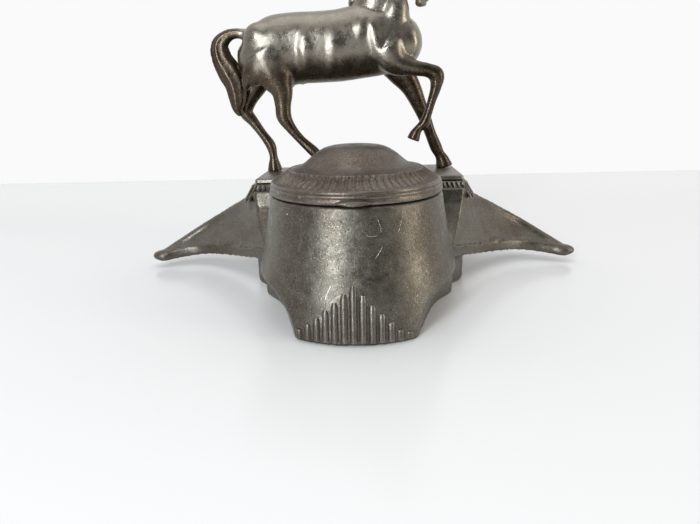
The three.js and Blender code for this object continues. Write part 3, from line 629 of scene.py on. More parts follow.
# ------------------------------------------------------------------ pen trays
SKIRT_HALF = 44.3
TIP_Y = 25.75  # middle of a wing tip
TIP_Z = 5.2
WING_TIP_X = 96.4
RIDGE_ROOT_TOP, RIDGE_TIP_TOP = 38.0, 7.8
RIDGE = (
    (46.0, PLINTH_FRONT - 3.4),
    (59.6, PLINTH_FRONT + 11.5),
    (75.7, PLINTH_FRONT + 20.5),
    (88.3, PLINTH_FRONT + 17.3),
    (WING_TIP_X, TIP_Y + 3.0),
)
TRAY_ROOT_LENGTH = 14  # how far a tray runs on behind the pot
TRAY_SECTIONS = 60
HOLLOW_SHARE = 0.72  # how far out the tray's underside is hollow
RIM_WIDTH = 2.6
RIM_TOP = 18, 7.8  # at the tray's root and at its tip, as are the next two
RIM_FOOT = 12.5, 2.7
DISH = 3.2, 0.6  # how far the trough lies below the rim


def tray_span(share):
    """Front and rear edge of a tray's section, from its root (0) to its tip (1)."""
    knots = [
        (HEEL[0] + 0.2, POT_Y + HEEL[1] + 5),
        (SKIRT_HALF - 0.4, POT_Y + 24.65),
        (SKIRT_HALF + 6.2, POT_Y + 32.5),
        (SKIRT_HALF + 0.36 * (WING_TIP_X - SKIRT_HALF), TIP_Y - 8),
        (SKIRT_HALF + 0.67 * (WING_TIP_X - SKIRT_HALF), TIP_Y + 0.2),
        (WING_TIP_X, TIP_Y - 3.0),
    ]
    spot = round(share * TRAY_SECTIONS)
    return tuple(smooth_line(line, TRAY_SECTIONS)[spot] for line in (knots, RIDGE))


def ridge_top(rear):
    """Height of the tray's rear ridge, which falls straight to the tip."""
    root_x = RIDGE[0][0]
    return mix(RIDGE_ROOT_TOP, RIDGE_TIP_TOP, (rear.x - root_x) / (WING_TIP_X - root_x))


def rooted(rings):
    """Runs the first section on towards the middle, behind the pot."""
    return [[p - Vector((TRAY_ROOT_LENGTH, 0, 0)) for p in rings[0]], *rings]


def rim_height(ends, share):
    return mix(*ends, share**1.1)


def rise(low, high, t, rim):
    """Height of the tray between its rim and its ridge."""
    return mix(low, high, max(0.0, (t - rim) / (1 - rim)) ** 1.7)


def tray_ring(share):
    """Section of a tray: upright rim with a round top, sunk trough, rising back and its border."""
    front, rear = tray_span(share)
    width = (rear - front).length
    rim_top, rim_foot = rim_height(RIM_TOP, share), rim_height(RIM_FOOT, share)
    ridge = ridge_top(rear)
    trough = rim_top - mix(*DISH, share)
    rim = RIM_WIDTH / width
    border = 3.4 / width
    marks = [
        (0.0, rim_foot),
        (-0.25 * rim, mix(rim_foot, rim_top, 0.45)),
        (0.0, rim_top - 0.9),
        (0.35 * rim, rim_top),
        (0.8 * rim, rim_top - 0.1),
        (rim, rim_top - 0.8),
    ]
    across = [mix(rim + 0.8 / width, 1 - border, k / 9) for k in range(10)]
    marks += [(t, rise(trough, ridge - 0.7, t, rim)) for t in across]
    marks += [(1 - 0.75 * border, ridge - 0.15), (1, ridge)]
    marks += [(1 + 1.2 / width, ridge - 1), (1.1, rim_foot)]
    return [Vector((*front.lerp(rear, t), z)) for t, z in marks]


def tray_hollow_ring(share):
    """Section of the hollow under a tray, 2.8 below its upper face."""
    front, rear = tray_span(share)
    rim = RIM_WIDTH / (rear - front).length
    trough = rim_height(RIM_TOP, share) - mix(*DISH, share)
    places = (0.36, 0.55, 0.75, 0.93)
    roof = [(t, rise(trough, ridge_top(rear), t, rim) - 2.8) for t in places]
    marks = [(places[0], BELOW), *roof, (places[-1], BELOW)]
    return [Vector((*front.lerp(rear, t), z)) for t, z in marks]


def trays(bm):
    loft(bm, rooted([tray_ring(i / TRAY_SECTIONS) for i in range(TRAY_SECTIONS + 1)]))


def wing_tips(bm):
    ball(bm, (WING_TIP_X - 0.8, TIP_Y, TIP_Z), (5.6, 3.7, 2.7))


def tray_ornament(bm):
    """Low scroll of leaves at the inner end of the tray."""
    for x, y, z, size, tilt in (
        (54.0, 13.6, 14.2, 3.8, 0.3),
        (60.5, 19.2, 13.8, 4.2, 0.2),
        (68.0, 24.2, 12.2, 3.6, 0.1),
    ):
        ball(bm, (x, y, z - 1.3), (size, size * 0.5, 1.5), tilt)


SADDLE_EDGE, SADDLE_CROWN = 14.8, 26
SKIRT_TOP = 13


def saddle_solid(bm, inset=0.0):
    """Floor between pot and plinth: highest behind the pot, falling to both trays."""
    half = HEEL[0] + 1 - inset
    rings = []
    for i in range(33):
        x = mix(-half, half, i / 32)
        crown = max(0.0, math.cos(x / (HEEL[0] + 1) * math.pi / 2))
        top = mix(SADDLE_EDGE, SADDLE_CROWN, crown) - inset
        bottom = BELOW if inset else 0
        front = POT_Y + (0 if inset else 10)
        rear = PLINTH_FRONT + 2.8 + inset
        corners = ((front, bottom), (front, top), (rear, top), (rear, bottom))
        rings.append([Vector((x, y, z)) for y, z in corners])
    loft(bm, rings)


def skirt_solid(bm, inset=0.0):
    """Low skirt from the pot's sides to the plinth, hollow-sided between its corners."""
    knots = (HEEL, (38.6, 19.5), (SKIRT_HALF, 28.0), (47.3, 44.5))
    side = smooth_line([(x - inset, y) for x, y in knots], 12)
    half = [(p.x, POT_Y + p.y) for p in side]
    outline = half + [(-x, y) for x, y in reversed(half)]
    bottom, top = (BELOW, SKIRT_TOP - 2.8) if inset else (0, SKIRT_TOP)
    loft(bm, [[Vector((x, y, z)) for x, y in outline] for z in (bottom, top)])


# ------------------------------------------------------------------ plinth
def plinth_ring(rear, z, front=None):
    """Round-cornered rectangle at height z, standing out by its own amount at rear and front."""
    front = rear if front is None else front

    def quarter(spread):
        x, y = PLINTH_WIDTH / 2 + spread, PLINTH_DEPTH / 2 + spread
        corner = 1.6 + max(0, spread) * 0.8
        turns = [math.radians(a) for a in (0, 22.5, 45, 67.5, 90)]
        x, y = x - corner, y - corner
        return [(x + corner * math.cos(a), y + corner * math.sin(a)) for a in turns]

    def half(points):
        return points + [(-x, y) for x, y in reversed(points)]

    ring = half(quarter(rear)) + [(-x, -y) for x, y in half(quarter(front))]
    return [Vector((x, PLINTH_MIDDLE + y, z)) for x, y in ring]


FRIEZE = 6.5
FLARE_TOP = PLINTH_HEIGHT - FRIEZE
FRIEZE_SPREAD = 3.9  # how far the frieze's foot stands out past the plate
# Along a frieze rib: share of the band's height, stand-off from the plate and share of its radius.
FRIEZE_RIB = (
    (-0.12, FRIEZE_SPREAD, 0.4), (0.08, 3.5, 1), (0.35, 2.5, 1), (0.75, 1.1, 1), (0.93, 0.8, 0.8),
)


def plinth_solid(bm):
    levels = [
        (5.5, 0, -1),
        (5.4, FLARE_TOP * 0.3, -1),
        (5.3, FLARE_TOP * 0.42, FRIEZE_SPREAD),
        (5.0, FLARE_TOP * 0.7, FRIEZE_SPREAD),
        (4.5, FLARE_TOP * 0.9, FRIEZE_SPREAD),
        (FRIEZE_SPREAD, FLARE_TOP, None),
        (2.7, mix(FLARE_TOP, PLINTH_HEIGHT, 0.35), None),
        (1.3, mix(FLARE_TOP, PLINTH_HEIGHT, 0.75), None),
        (0.9, PLINTH_HEIGHT - 0.5, None),
        (0.9, PLINTH_HEIGHT, None),
    ]
    loft(bm, [plinth_ring(rear, z, front) for rear, z, front in levels])


def plinth_hollow(bm):
    levels = [
        (2.7, BELOW, -3.8),
        (2.5, FLARE_TOP * 0.3, -3.8),
        (2.3, FLARE_TOP * 0.42, 1.1),
        (2.0, FLARE_TOP * 0.7, 1.1),
        (0.9, FLARE_TOP, 0.9),
        (-1.8, PLINTH_HEIGHT - 2.8, None),
    ]
    loft(bm, [plinth_ring(rear, z, front) for rear, z, front in levels])


def frieze_reeds(settings):
    """Close upright ribs round the plinth's band, with their feet running into the flare."""
    bm = bmesh.new()
    pitch = mm(settings.frieze_pitch)
    radius = pitch * 0.38
    half_x, half_y = PLINTH_WIDTH / 2, PLINTH_DEPTH / 2
    across, deep = int(2 * half_x / pitch), int(2 * half_y / pitch)
    places = []
    for i in range(across):
        x = (i - (across - 1) / 2) * pitch
        places += [(x, half_y, 0, 1), (x, -half_y, 0, -1)]
    for i in range(deep):
        y = (i - (deep - 1) / 2) * pitch
        places += [(half_x, y, 1, 0), (-half_x, y, -1, 0)]
    for x, y, side_x, side_y in places:
        knots = []
        for share, spread, size in FRIEZE_RIB:
            out_x = x * (1 + spread / half_x * abs(side_y)) + side_x * spread
            out_y = y * (1 + spread / half_y * abs(side_x)) + side_y * spread
            z = mix(FLARE_TOP, PLINTH_HEIGHT, share)
            knots.append((out_x, PLINTH_MIDDLE + out_y, z, radius * size))
        tube(bm, knots, 8, 8)
    return as_object("frieze", bm)


# ------------------------------------------------------------------ base casting
def hinge_tube(bm, ends, radius, sides):
    tube(bm, [(x, HINGE_Y, HINGE_Z, radius) for x in ends], 1, sides)


def hinge_bore(name):
    """Cutter for the pin's hole through the knuckles."""
    bm = bmesh.new()
    hinge_tube(bm, (-BORE_REACH, BORE_REACH), BORE_RADIUS, 24)
    return as_object(name, bm)


def pot_knuckles(bm):
    """Two hinge barrels with their webs on the pot's rear rim."""
    for side in (1, -1):
        near, far = side * 3.8, side * 8.0
        hinge_tube(bm, (near, far), BARREL_RADIUS, 28)
        centre = ((near + far) / 2, HINGE_Y - 2.6, POT_HEIGHT - 1.05)
        block(bm, centre, (abs(far - near), 5.2, 2.1))


def mouth_cutter():
    bm = bmesh.new()
    hole, mouth = LINER_RADIUS + 0.5, MOUTH_RADIUS
    profile = [(0, 37), (hole, 37), (hole, LEDGE), (mouth, LEDGE), (mouth, POT_HEIGHT - 0.4)]
    profile += [(mouth + 0.4, z) for z in (POT_HEIGHT, POT_HEIGHT + 1)] + [(0, POT_HEIGHT + 1)]
    spin(bm, profile, POT_Y, 128)
    return as_object("mouth", bm)


def underside_cutter(settings):
    """Everything that is open below: pot, saddle, skirt, trays and plinth."""
    wall = mm(settings.wall)
    bm = bmesh.new()
    roof = LEDGE - LEDGE_THICKNESS
    outline = pot_outline(settings)
    side = [(r - wall, z) for r, z in outline if z < roof]
    profile = [(0, BELOW), (side[0][0], BELOW), *side, (side[-1][0], roof), (0, roof)]
    spin(bm, profile, POT_Y, 96)
    skirt_solid(bm, wall)
    saddle_solid(bm, wall)
    tool = as_object("underside", bm)
    skin_over(tool, 1.0)
    combine(tool, scoops(settings, wall), "DIFFERENCE")
    bm = bmesh.new()
    loft(bm, rooted([tray_hollow_ring(HOLLOW_SHARE * i / 24) for i in range(25)]))
    mirrored(bm)
    plinth_hollow(bm)
    rest = as_object("tray_hollows", bm)
    skin_over(rest, 1.0)
    combine(tool, rest, "UNION")
    return tool


def build_base(settings):
    bm = bmesh.new()
    trays(bm)
    wing_tips(bm)
    tray_ornament(bm)
    mirrored(bm)
    saddle_solid(bm)
    skirt_solid(bm)
    plinth_solid(bm)
    base = joined(as_object("base_shell", bm), pot_solid(settings))
    skin_over(base, mm(settings.skin))
    soften(base, 9)
    combine(base, underside_cutter(settings), "DIFFERENCE")
    combine(base, mouth_cutter(), "DIFFERENCE")
    combine(base, front_reeds(settings), "UNION")
    combine(base, frieze_reeds(settings), "UNION")
    bm = bmesh.new()
    pot_knuckles(bm)
    combine(base, as_object("knuckles", bm), "UNION")
    combine(base, hinge_bore("bore"), "DIFFERENCE")
    thin_out(base)
    finish_piece(base, "base", spelter(), ["base_casting"], 40)


# ------------------------------------------------------------------ plate
def build_plate():
    bm = bmesh.new()
    inset, bottom, top = 0.05, PLATE_LOW.z, PLATE_HIGH.z
    levels = [(-inset - 0.25, bottom), (-inset, bottom + 0.25), (-inset, top - 0.7)]
    levels += [(-inset - 0.2, top - 0.22), (-inset - 0.7, top)]
    loft(bm, [plinth_ring(spread, z) for spread, z in levels])
    plate = as_object("ground_plate", bm)
    finish_piece(plate, "base", plate_spelter(), ["figure_plate"], 35)


# ------------------------------------------------------------------ lid
# Outlines as (in from the rim, down from the top), where an x of 0 is the lid's middle.
LID_DOME = ((7.4, 8.3), (12, 6.9), (17.2, 2.9), (22, 0.8), (0, 0))
LID_CEILING = ((0, 2), (22.5, 3), (18.5, 5.2), (13, 9.2))
# The rim's inside, lower face and mouldings, as (in from the rim, up from the lid's bottom).
LID_EDGE = (
    (4.4, 1.8), (3.4, 0.3), (3.2, 0), (0.3, 0), (0.05, 0.2), (-0.05, 0.8), (0.02, 1.4),
    (0.25, 1.7), (0.3, 1.9), (0.12, 2.15), (0.12, 2.7), (0.4, 3.0), (0.5, 3.15), (0.4, 3.4),
    (0.5, 3.9), (0.8, 4.2),
)


def lid_profile(settings):
    """Closed half section of the lid, from the middle of its ceiling round to the dome's top."""
    top = LID_HIGH.z
    rim = mm(settings.rim_radius)
    dome = smooth_line([(rim - x if x else 0, top - z) for x, z in LID_DOME], 30)
    dome[-1].x = 0
    ceiling = smooth_line([(rim - x if x else 0, top - z) for x, z in LID_CEILING], 14)
    ceiling[0].x = 0
    under = [(rim - 8.6, top - 10.6)]
    edge = [(rim - x, LID_BOTTOM + z) for x, z in LID_EDGE]
    ring = []
    for k in range(13):
        share = k / 12
        ring.append((mix(rim - 1.1, rim - 7.2, share), mix(LID_BOTTOM + 4.3, top - 8.2, share)))
    return [(p.x, p.y) for p in ceiling] + under + edge + ring + [(p.x, p.y) for p in dome]


def cut_flutes(bm, settings):
    """Presses dished flutes into the sloping ring, deepest at their upper ends."""
    rim = mm(settings.rim_radius)
    outer, inner = rim - 1.4, rim - 7.1
    for vert in bm.verts:
        reach = math.hypot(vert.co.x, vert.co.y - POT_Y)
        if not inner < reach < outer or vert.co.z < LID_BOTTOM + 4.2:
            continue
        turn = math.atan2(vert.co.y - POT_Y, vert.co.x) * settings.flute_count / (2 * math.pi)
        dish = 1 - abs(2 * (turn % 1) - 1) ** 2.2
        along = (outer - reach) / (outer - inner)
        depth = mm(settings.flute_depth) * mix(0.45, 1.15, along)
        ends = min(1.0, along / 0.08, (1 - along) / 0.12)
        vert.co.z -= depth * dish * ends


def build_lid(settings):
    bm = bmesh.new()
    spin(bm, lid_profile(settings), POT_Y, settings.flute_count * 8)
    cut_flutes(bm, settings)
    lid = as_object("lid_casting", bm)
    bm = bmesh.new()
    rim = mm(settings.rim_radius)
    ball(bm, (0, POT_Y - rim - 0.1, LID_BOTTOM + 0.75), (5.9, 1.8, 0.95), fine=4)
    ball(bm, (0, POT_Y - rim - 0.9, LID_BOTTOM + 0.45), (3.4, 1.5, 0.6), fine=4)
    tab = as_object("tab", bm)
    skin_over(tab, 0.12)
    soften(tab, 6)
    combine(lid, tab, "UNION")
    bm = bmesh.new()
    hinge_tube(bm, (-3.5, 3.5), BARREL_RADIUS, 32)
    block(bm, (0, HINGE_Y - 2.35, LID_BOTTOM + 1.03), (7.0, 4.9, 2.05))
    combine(lid, as_object("lid_knuckle", bm), "UNION")
    combine(lid, hinge_bore("lid_bore"), "DIFFERENCE")
    finish_piece(lid, "lid", lid_spelter(), ["lid"], 50)


# ------------------------------------------------------------------ liner and hinge pin
def build_liner():
    """Cup with a rounded foot, hung by its flange."""
    bm = bmesh.new()
    low, high = LINER_LOW.z, LINER_HIGH.z
    radius, flange = LINER_RADIUS, LINER_HIGH.x
    bore = radius - LINER_WALL
    foot = [(0, low), (radius - 3, low), (radius - 1.6, low + 0.5), (radius - 0.5, low + 1.6)]
    side = [(radius, low + 3), (radius, high - FLANGE), (flange - 0.4, high - FLANGE)]
    edge = [(flange, high - 2.0), (flange, high - 0.8), (flange - 0.2, high - 0.3)]
    lip = [(flange - 0.8, high), (bore + 1.2, high), (bore + 0.4, high - 0.3), (bore, high - 1.2)]
    inner = [(bore, low + 5.2), (bore - 0.8, low + 3.4), (bore - 3, low + 2.3), (0, low + 2.2)]
    spin(bm, foot + side + edge + lip + inner, POT_Y, 128)
    liner = as_object("porcelain_liner", bm)
    finish_piece(liner, "base", porcelain(), ["ink_liner"], 45)


def build_pin():
    """Straight pin with a rounded head at both ends."""
    bm = bmesh.new()
    head = ((0, 0), (0, 0.7), (0.15, 1.3), (0.35, 1.5), (0.75, 1.5), (0.8, 0.9))
    knots = [(PIN_LOW.x + x, r) for x, r in head]
    knots += [(-x, r) for x, r in reversed(knots)]
    verts = [bm.verts.new((x, HINGE_Y, HINGE_Z + r)) for x, r in knots]
    edges = [bm.edges.new(pair) for pair in zip(verts, verts[1:])]
    bmesh.ops.spin(
        bm,
        geom=verts + edges,
        cent=(0, HINGE_Y, HINGE_Z),
        axis=(1, 0, 0),
        angle=2 * math.pi,
        steps=32,
        use_merge=True,
    )
    bmesh.ops.remove_doubles(bm, verts=bm.verts, dist=1e-4)
    pin = as_object("lid_pin", bm)
    metal = plain_metal("pin_steel", rgb("8f8b83"), 0.3, 21)
    finish_piece(pin, "base", metal, ["hinge_pin"], 40)


def finish_fasteners():
    brass = plain_metal("screw_brass", rgb("a98a4c"), 0.28, 23)
    steel = plain_metal("washer_steel", rgb("8c8984"), 0.32, 25)
    for name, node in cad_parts.items():
        if name.startswith("figure_screw") or name.startswith("figure_washer"):
            node.data.materials.clear()
            node.data.materials.append(brass if "screw" in name else steel)


# ------------------------------------------------------------------ horse
# Stations are (x, z, half-thickness in side view, half-width), on a horse 106 mm tall, with z
# above the hooves; a limb's chain is listed from the body down.
NEAR, FAR = -7.5, 7.5
TORSO = (
    (-53, 55, 3, 5), (-50, 54, 9.2, 9.5), (-44, 53.4, 13.4, 12.4), (-36, 54, 15.6, 12.8),
    (-28, 55.2, 15.2, 12), (-18, 55.4, 15.1, 12.4), (-8, 55.8, 15.2, 12.2), (2, 57.2, 15.4, 11.6),
    (11, 57.5, 14.8, 11.4), (19, 56.6, 12.6, 10.6), (26, 56.4, 8.2, 8), (29, 56.4, 3, 4),
)
NECK = (
    (8, 62, 13, 8.5), (11, 72, 12.2, 7.6), (12.6, 80, 9.8, 6.4),
    (14.2, 88, 8.2, 5.4), (17, 95, 6.8, 4.6), (20.5, 99, 4.6, 3.8),
)
HEAD = (
    (19.5, 97.5, 4.4, 3.6), (23.4, 94.5, 6.4, 4.8), (26, 88.5, 6, 4.6), (27.8, 82.5, 4.7, 3.7),
    (28.8, 77, 4.1, 3.2), (29.2, 73.4, 3.2, 2.9),
)
NEAR_FORELEG = (
    (13, 54, 8.5, 5.6), (17, 48, 6, 4.8), (24, 45.6, 3.8, 3.8), (31, 44.2, 3, 3),
    (34.9, 42, 3.5, 3.1), (34.8, 37, 2.5, 2.4), (33, 31, 1.95, 1.95), (31.2, 25, 1.95, 1.95),
    (29.9, 21.6, 2.4, 2.3), (27.6, 19.6, 1.9, 1.9), (26.0, 17.2, 2.5, 2.5), (24.9, 14.4, 3.0, 2.9),
)
FAR_FORELEG = (
    (14, 52, 8, 5.4), (20, 44.4, 6.4, 4.6), (24.6, 38.2, 4.8, 3.8), (28.2, 31, 3.7, 3.2),
    (31.8, 23, 3, 2.5), (34.4, 16.3, 2.7, 2.4), (37.3, 9.6, 2.9, 2.6), (39, 6.4, 2.5, 2.4),
    (40.4, 3.8, 3.2, 3), (41.6, 0, 4.2, 3.9),
)
NEAR_HIND_LEG = (
    (-41, 54, 10, 6.4), (-37.5, 45, 8.2, 5.6), (-34, 37.5, 5.2, 4.2), (-33.8, 31, 3.7, 3.2),
    (-33.6, 26, 3.5, 2.9), (-30.8, 21, 2.5, 2.3), (-26.4, 15.6, 2.1, 2), (-20.6, 10, 2.5, 2.3),
    (-17.2, 6.2, 2.1, 2.1), (-15.6, 3.4, 3, 2.9), (-14.4, 0, 3.8, 3.6),
)
FAR_HIND_LEG = (
    (-44, 52, 9.4, 6), (-48, 43, 7, 5), (-52.6, 34, 4.2, 3.6), (-54.3, 28.4, 3.5, 3),
    (-51, 23.6, 2.6, 2.4), (-47, 17.8, 2.2, 2.1), (-43.4, 12.2, 2.5, 2.3), (-42.4, 7, 2, 2),
    (-42.2, 3.4, 2.9, 2.9), (-42, 0, 3.8, 3.6),
)
TAIL = (
    (-44, 59.6, 3.6, 3.6), (-49.4, 61.6, 3, 3), (-54, 62.3, 2.4, 2.6), (-58.4, 61.2, 3, 2.8),
    (-61.9, 57.6, 4.3, 3.2), (-61.6, 52, 5.1, 3.4), (-58.8, 46.2, 6, 3.5), (-56.6, 40.5, 5.4, 3.3),
    (-56.2, 34.5, 4.5, 2.9), (-56.4, 30, 2.9, 2.3), (-55.2, 26.6, 1.2, 1.3),
)

# Muscle masses laid over the trunk: (x, z, sideways, half length, half height, half width, tilt),
# with the tilt in degrees, nose down for a positive one.
MUSCLES = (
    (-42, 57, 5.6, 8.5, 9.5, 6.4, -24),
    (-42.5, 50, 7.0, 6.0, 11.6, 6.0, 24),
    (-36, 50, 7.6, 4.8, 10.6, 5.6, -14),
    (-47.8, 47, 6.0, 3.4, 10.0, 4.8, 16),
    (-33.5, 43, 7.2, 4.8, 5.4, 4.6, 10),
    (-22, 54.6, 2.4, 9.0, 12.8, 10.6, 0),
    (-10, 54.8, 2.4, 9.0, 13.2, 10.6, 0),
    (1.5, 59, 5.0, 6.4, 11.4, 7.0, 16),
    (8.5, 57, 6.2, 5.0, 12.0, 6.4, -16),
    (14.5, 54, 6.2, 6.0, 8.0, 6.0, -30),
    (22, 57, 4.6, 6.2, 8.6, 5.4, -10),
    (16.5, 66, 4.4, 6.6, 10.4, 5.4, 12),
)


def horse_place(x, z, side):
    """Spot on the figure, in the frame's axes."""
    return Vector((x, PLINTH_MIDDLE + side, HOOF_BOTTOM + z))


def casting(bm, chain, side, sides=20, flute=0.0, lobes=7, twist=0.0):
    """Smooth limb through its stations in the plane that lies to one side of the middle."""
    steps = (len(chain) - 1) * 6
    line = smooth_line(chain, steps)
    rings = []
    for i, (x, z, half, wide) in enumerate(line):
        before, after = line[max(i - 1, 0)], line[min(i + 1, steps)]
        along = Vector((after.x - before.x, after.y - before.y)).normalized()
        ring = []
        for k in range(sides):
            turn = 2 * math.pi * k / sides
            wave = abs(math.sin(lobes / 2 * turn + twist * i / steps))
            groove = 1 - flute * wave * min(1.0, i / 12)
            out, off = half * math.cos(turn) * groove, wide * math.sin(turn) * groove
            ring.append(horse_place(x + along.y * out, z - along.x * out, side + off))
        rings.append(ring)
    loft(bm, rings)


def figure_tube(bm, knots, steps, sides):
    """Tube through (x, z, sideways, radius) stations on the figure."""
    tube(bm, [(*horse_place(x, z, side), size) for x, z, side, size in knots], steps, sides)


def add_muscles(bm):
    for x, z, side, length, height, width, tilt in MUSCLES:
        for hand in (1, -1):
            ball(bm, horse_place(x, z, hand * side), (length, width, height), math.radians(tilt))
    ball(bm, horse_place(-26, 41.4, 0), (2.6, 1.8, 1.6), math.radians(20))


def add_head(bm):
    casting(bm, HEAD, 0, 24)
    for hand in (1, -1):
        ball(bm, horse_place(22.6, 90.5, hand * 2.6), (3.8, 2.4, 5.0), math.radians(-8))
        ball(bm, horse_place(26.6, 92.2, hand * 4.1), (1.1, 0.9, 0.9))
        ball(bm, horse_place(27.4, 94.0, hand * 3.6), (1.6, 0.9, 0.7), math.radians(35))
        ball(bm, horse_place(30.8, 74.4, hand * 1.8), (1.5, 1.2, 1.7), math.radians(10))
        ear = [(20.2, 97, 2.4, 2.0), (20.8, 100.5, 3.0, 2.1)]
        ear += [(21.6, 103.6, 3.4, 1.5), (22.2, 105.6, 3.5, 0.4)]
        figure_tube(bm, [(x, z, hand * side, size) for x, z, side, size in ear], 10, 12)
    ball(bm, horse_place(28.2, 72.2, 0), (2.8, 2.3, 1.9))


def add_mane(bm):
    """Locks that fall from the crest to the far side, and the forelock."""
    rng = random.Random(SEED)
    crest = smooth_line([(17.5, 101.5), (9.6, 95.5), (5.2, 87), (2.2, 79.5), (-2.6, 74)], 16)
    for i, spot in enumerate(crest):
        drop = 9 + 5 * math.sin(math.pi * i / 16) + rng.uniform(-1, 1)
        x, z = spot.x, spot.y
        lock = [(x + 1.6, z - 0.6, -0.6, 1.1), (x + 0.6, z + 0.2, 1.0, 1.6)]
        lock += [(x + 0.8, z - drop * 0.4, 6.2, 1.5)]
        lock += [(x - 0.2, z - drop * 0.8, 7.6, 1.2), (x - 1.0, z - drop, 7.8, 0.4)]
        figure_tube(bm, lock, 10, 10)
    for side in (-0.9, 0.9):
        lock = [(19.5, 102.5, side, 1.3), (23.5, 101, side, 1.4)]
        lock += [(27, 97.5, side * 0.8, 1.0), (28.6, 94, side * 0.5, 0.3)]
        figure_tube(bm, lock, 8, 10)


def weigh_trunk(obj):
    """Marks the thick parts of the figure, which take more smoothing than its legs and face."""
    group = obj.vertex_groups.new(name="trunk")
    for vert in obj.data.vertices:
        x, z = vert.co.x, vert.co.z - HOOF_BOTTOM
        weight = min(1.0, max(0.0, (z - 36) / 8)) * min(1.0, max(0.0, (84 - z) / 6))
        if x < -53 or x > 30:
            weight = 0.0
        if weight > 0:
            group.add([vert.index], weight, "REPLACE")


def face_cutters():
    """Nostrils and the line of the mouth."""
    bm = bmesh.new()
    for hand in (1, -1):
        ball(bm, horse_place(32.0, 74.0, hand * 2.7), (0.7, 0.8, 0.9), math.radians(30), 2)
    figure_tube(bm, [(31.0, 71.6, -3.6, 0.16), (31.0, 71.4, 3.6, 0.16)], 2, 8)
    return as_object("nostrils", bm)


def build_horse(settings):
    bm = bmesh.new()
    casting(bm, TORSO, 0, 28)
    casting(bm, NECK, 0, 24)
    add_head(bm)
    add_muscles(bm)
    casting(bm, NEAR_FORELEG, NEAR)
    casting(bm, FAR_FORELEG, FAR)
    casting(bm, NEAR_HIND_LEG, NEAR)
    casting(bm, FAR_HIND_LEG, FAR)
    casting(bm, TAIL, 0, 42, 0.16, 7, 2.4)
    horse = as_object("horse_figure", bm)
    skin_over(horse, mm(settings.horse_skin))
    weigh_trunk(horse)
    soften(horse, 44, "trunk")
    soften(horse, 4)
    bm = bmesh.new()
    add_mane(bm)
    mane = as_object("mane", bm)
    skin_over(mane, mm(settings.horse_skin) * 0.8)
    soften(mane, 3)
    combine(horse, mane, "UNION")
    combine(horse, face_cutters(), "DIFFERENCE")
    thin_out(horse)
    parts = ["horse_body", "horse_near_foreleg", "horse_far_foreleg"]
    parts += ["horse_near_hind_leg", "horse_far_hind_leg", "horse_tail"]
    finish_piece(horse, "base", figure_spelter(), parts)


# ------------------------------------------------------------------ stage
TABLE_SIZE = 6.0  # half width, in metres
TABLE_END = 0.32  # how far behind the object the table stops, in metres
TABLE_NEAR, TABLE_FAR = (0.83, 0.83, 0.83, 1), (0.90, 0.90, 0.90, 1)
ROOM_DIM, ROOM_BRIGHT = 0.09, 0.93  # strength of the room on the viewer's side and opposite
BACKDROP = 0.955  # strength of the wall that the camera sees
CAMERA_PLACE = (5.4, -216.65, 75.7)
CAMERA_TURN = (-2.49, 17.23, -1.49)  # yaw, pitch down and roll, in degrees


def aim(obj, target):
    way = Vector(target) - obj.location
    obj.rotation_mode = "QUATERNION"
    obj.rotation_quaternion = way.to_track_quat("-Z", "Y")


def softbox(name, place, target, width, height, power, colour):
    lamp = bpy.data.lights.new(name, "AREA")
    lamp.shape = "RECTANGLE"
    lamp.size, lamp.size_y = width, height
    lamp.energy = power
    lamp.color = colour
    obj = bpy.data.objects.new(name, lamp)
    obj.location = place
    aim(obj, target)
    obj.visible_camera = False
    bpy.context.scene.collection.objects.link(obj)


def table_top():
    bm = bmesh.new()
    bmesh.ops.create_grid(bm, x_segments=1, y_segments=1, size=TABLE_SIZE)
    bmesh.ops.translate(bm, vec=(0, TABLE_END - TABLE_SIZE, 0), verts=bm.verts)
    table = as_object("table_top", bm)
    graph = Graph("pale_table")
    edge = graph.steps(graph.axes()["Y"], 0.1, 0.3)
    graph.surface(base_color=graph.blend(edge, TABLE_NEAR, TABLE_FAR), roughness=0.2)
    table.data.materials.append(graph.material)


def room_light():
    """Pale room, dimmer on the viewer's side, which the dark metal mirrors."""
    world = bpy.data.worlds.new("room")
    bpy.context.scene.world = world
    world.use_nodes = True
    nodes, links = world.node_tree.nodes, world.node_tree.links
    background = nodes["Background"]
    way = nodes.new("ShaderNodeTexCoord").outputs["Generated"]
    split = nodes.new("ShaderNodeSeparateXYZ")
    links.new(way, split.inputs[0])
    ramp = nodes.new("ShaderNodeMapRange")
    ramp.interpolation_type = "SMOOTHSTEP"
    limits = {"From Min": -0.95, "From Max": 0.4, "To Min": ROOM_DIM, "To Max": ROOM_BRIGHT}
    for name, number in limits.items():
        ramp.inputs[name].default_value = number
    links.new(split.outputs["Y"], ramp.inputs["Value"])
    seen = nodes.new("ShaderNodeLightPath").outputs["Is Camera Ray"]
    bright = nodes.new("ShaderNodeMix")
    links.new(seen, bright.inputs[0])
    links.new(ramp.outputs["Result"], bright.inputs[2])
    bright.inputs[3].default_value = BACKDROP
    links.new(bright.outputs[0], background.inputs["Strength"])
    background.inputs["Color"].default_value = (1, 1, 1, 1)


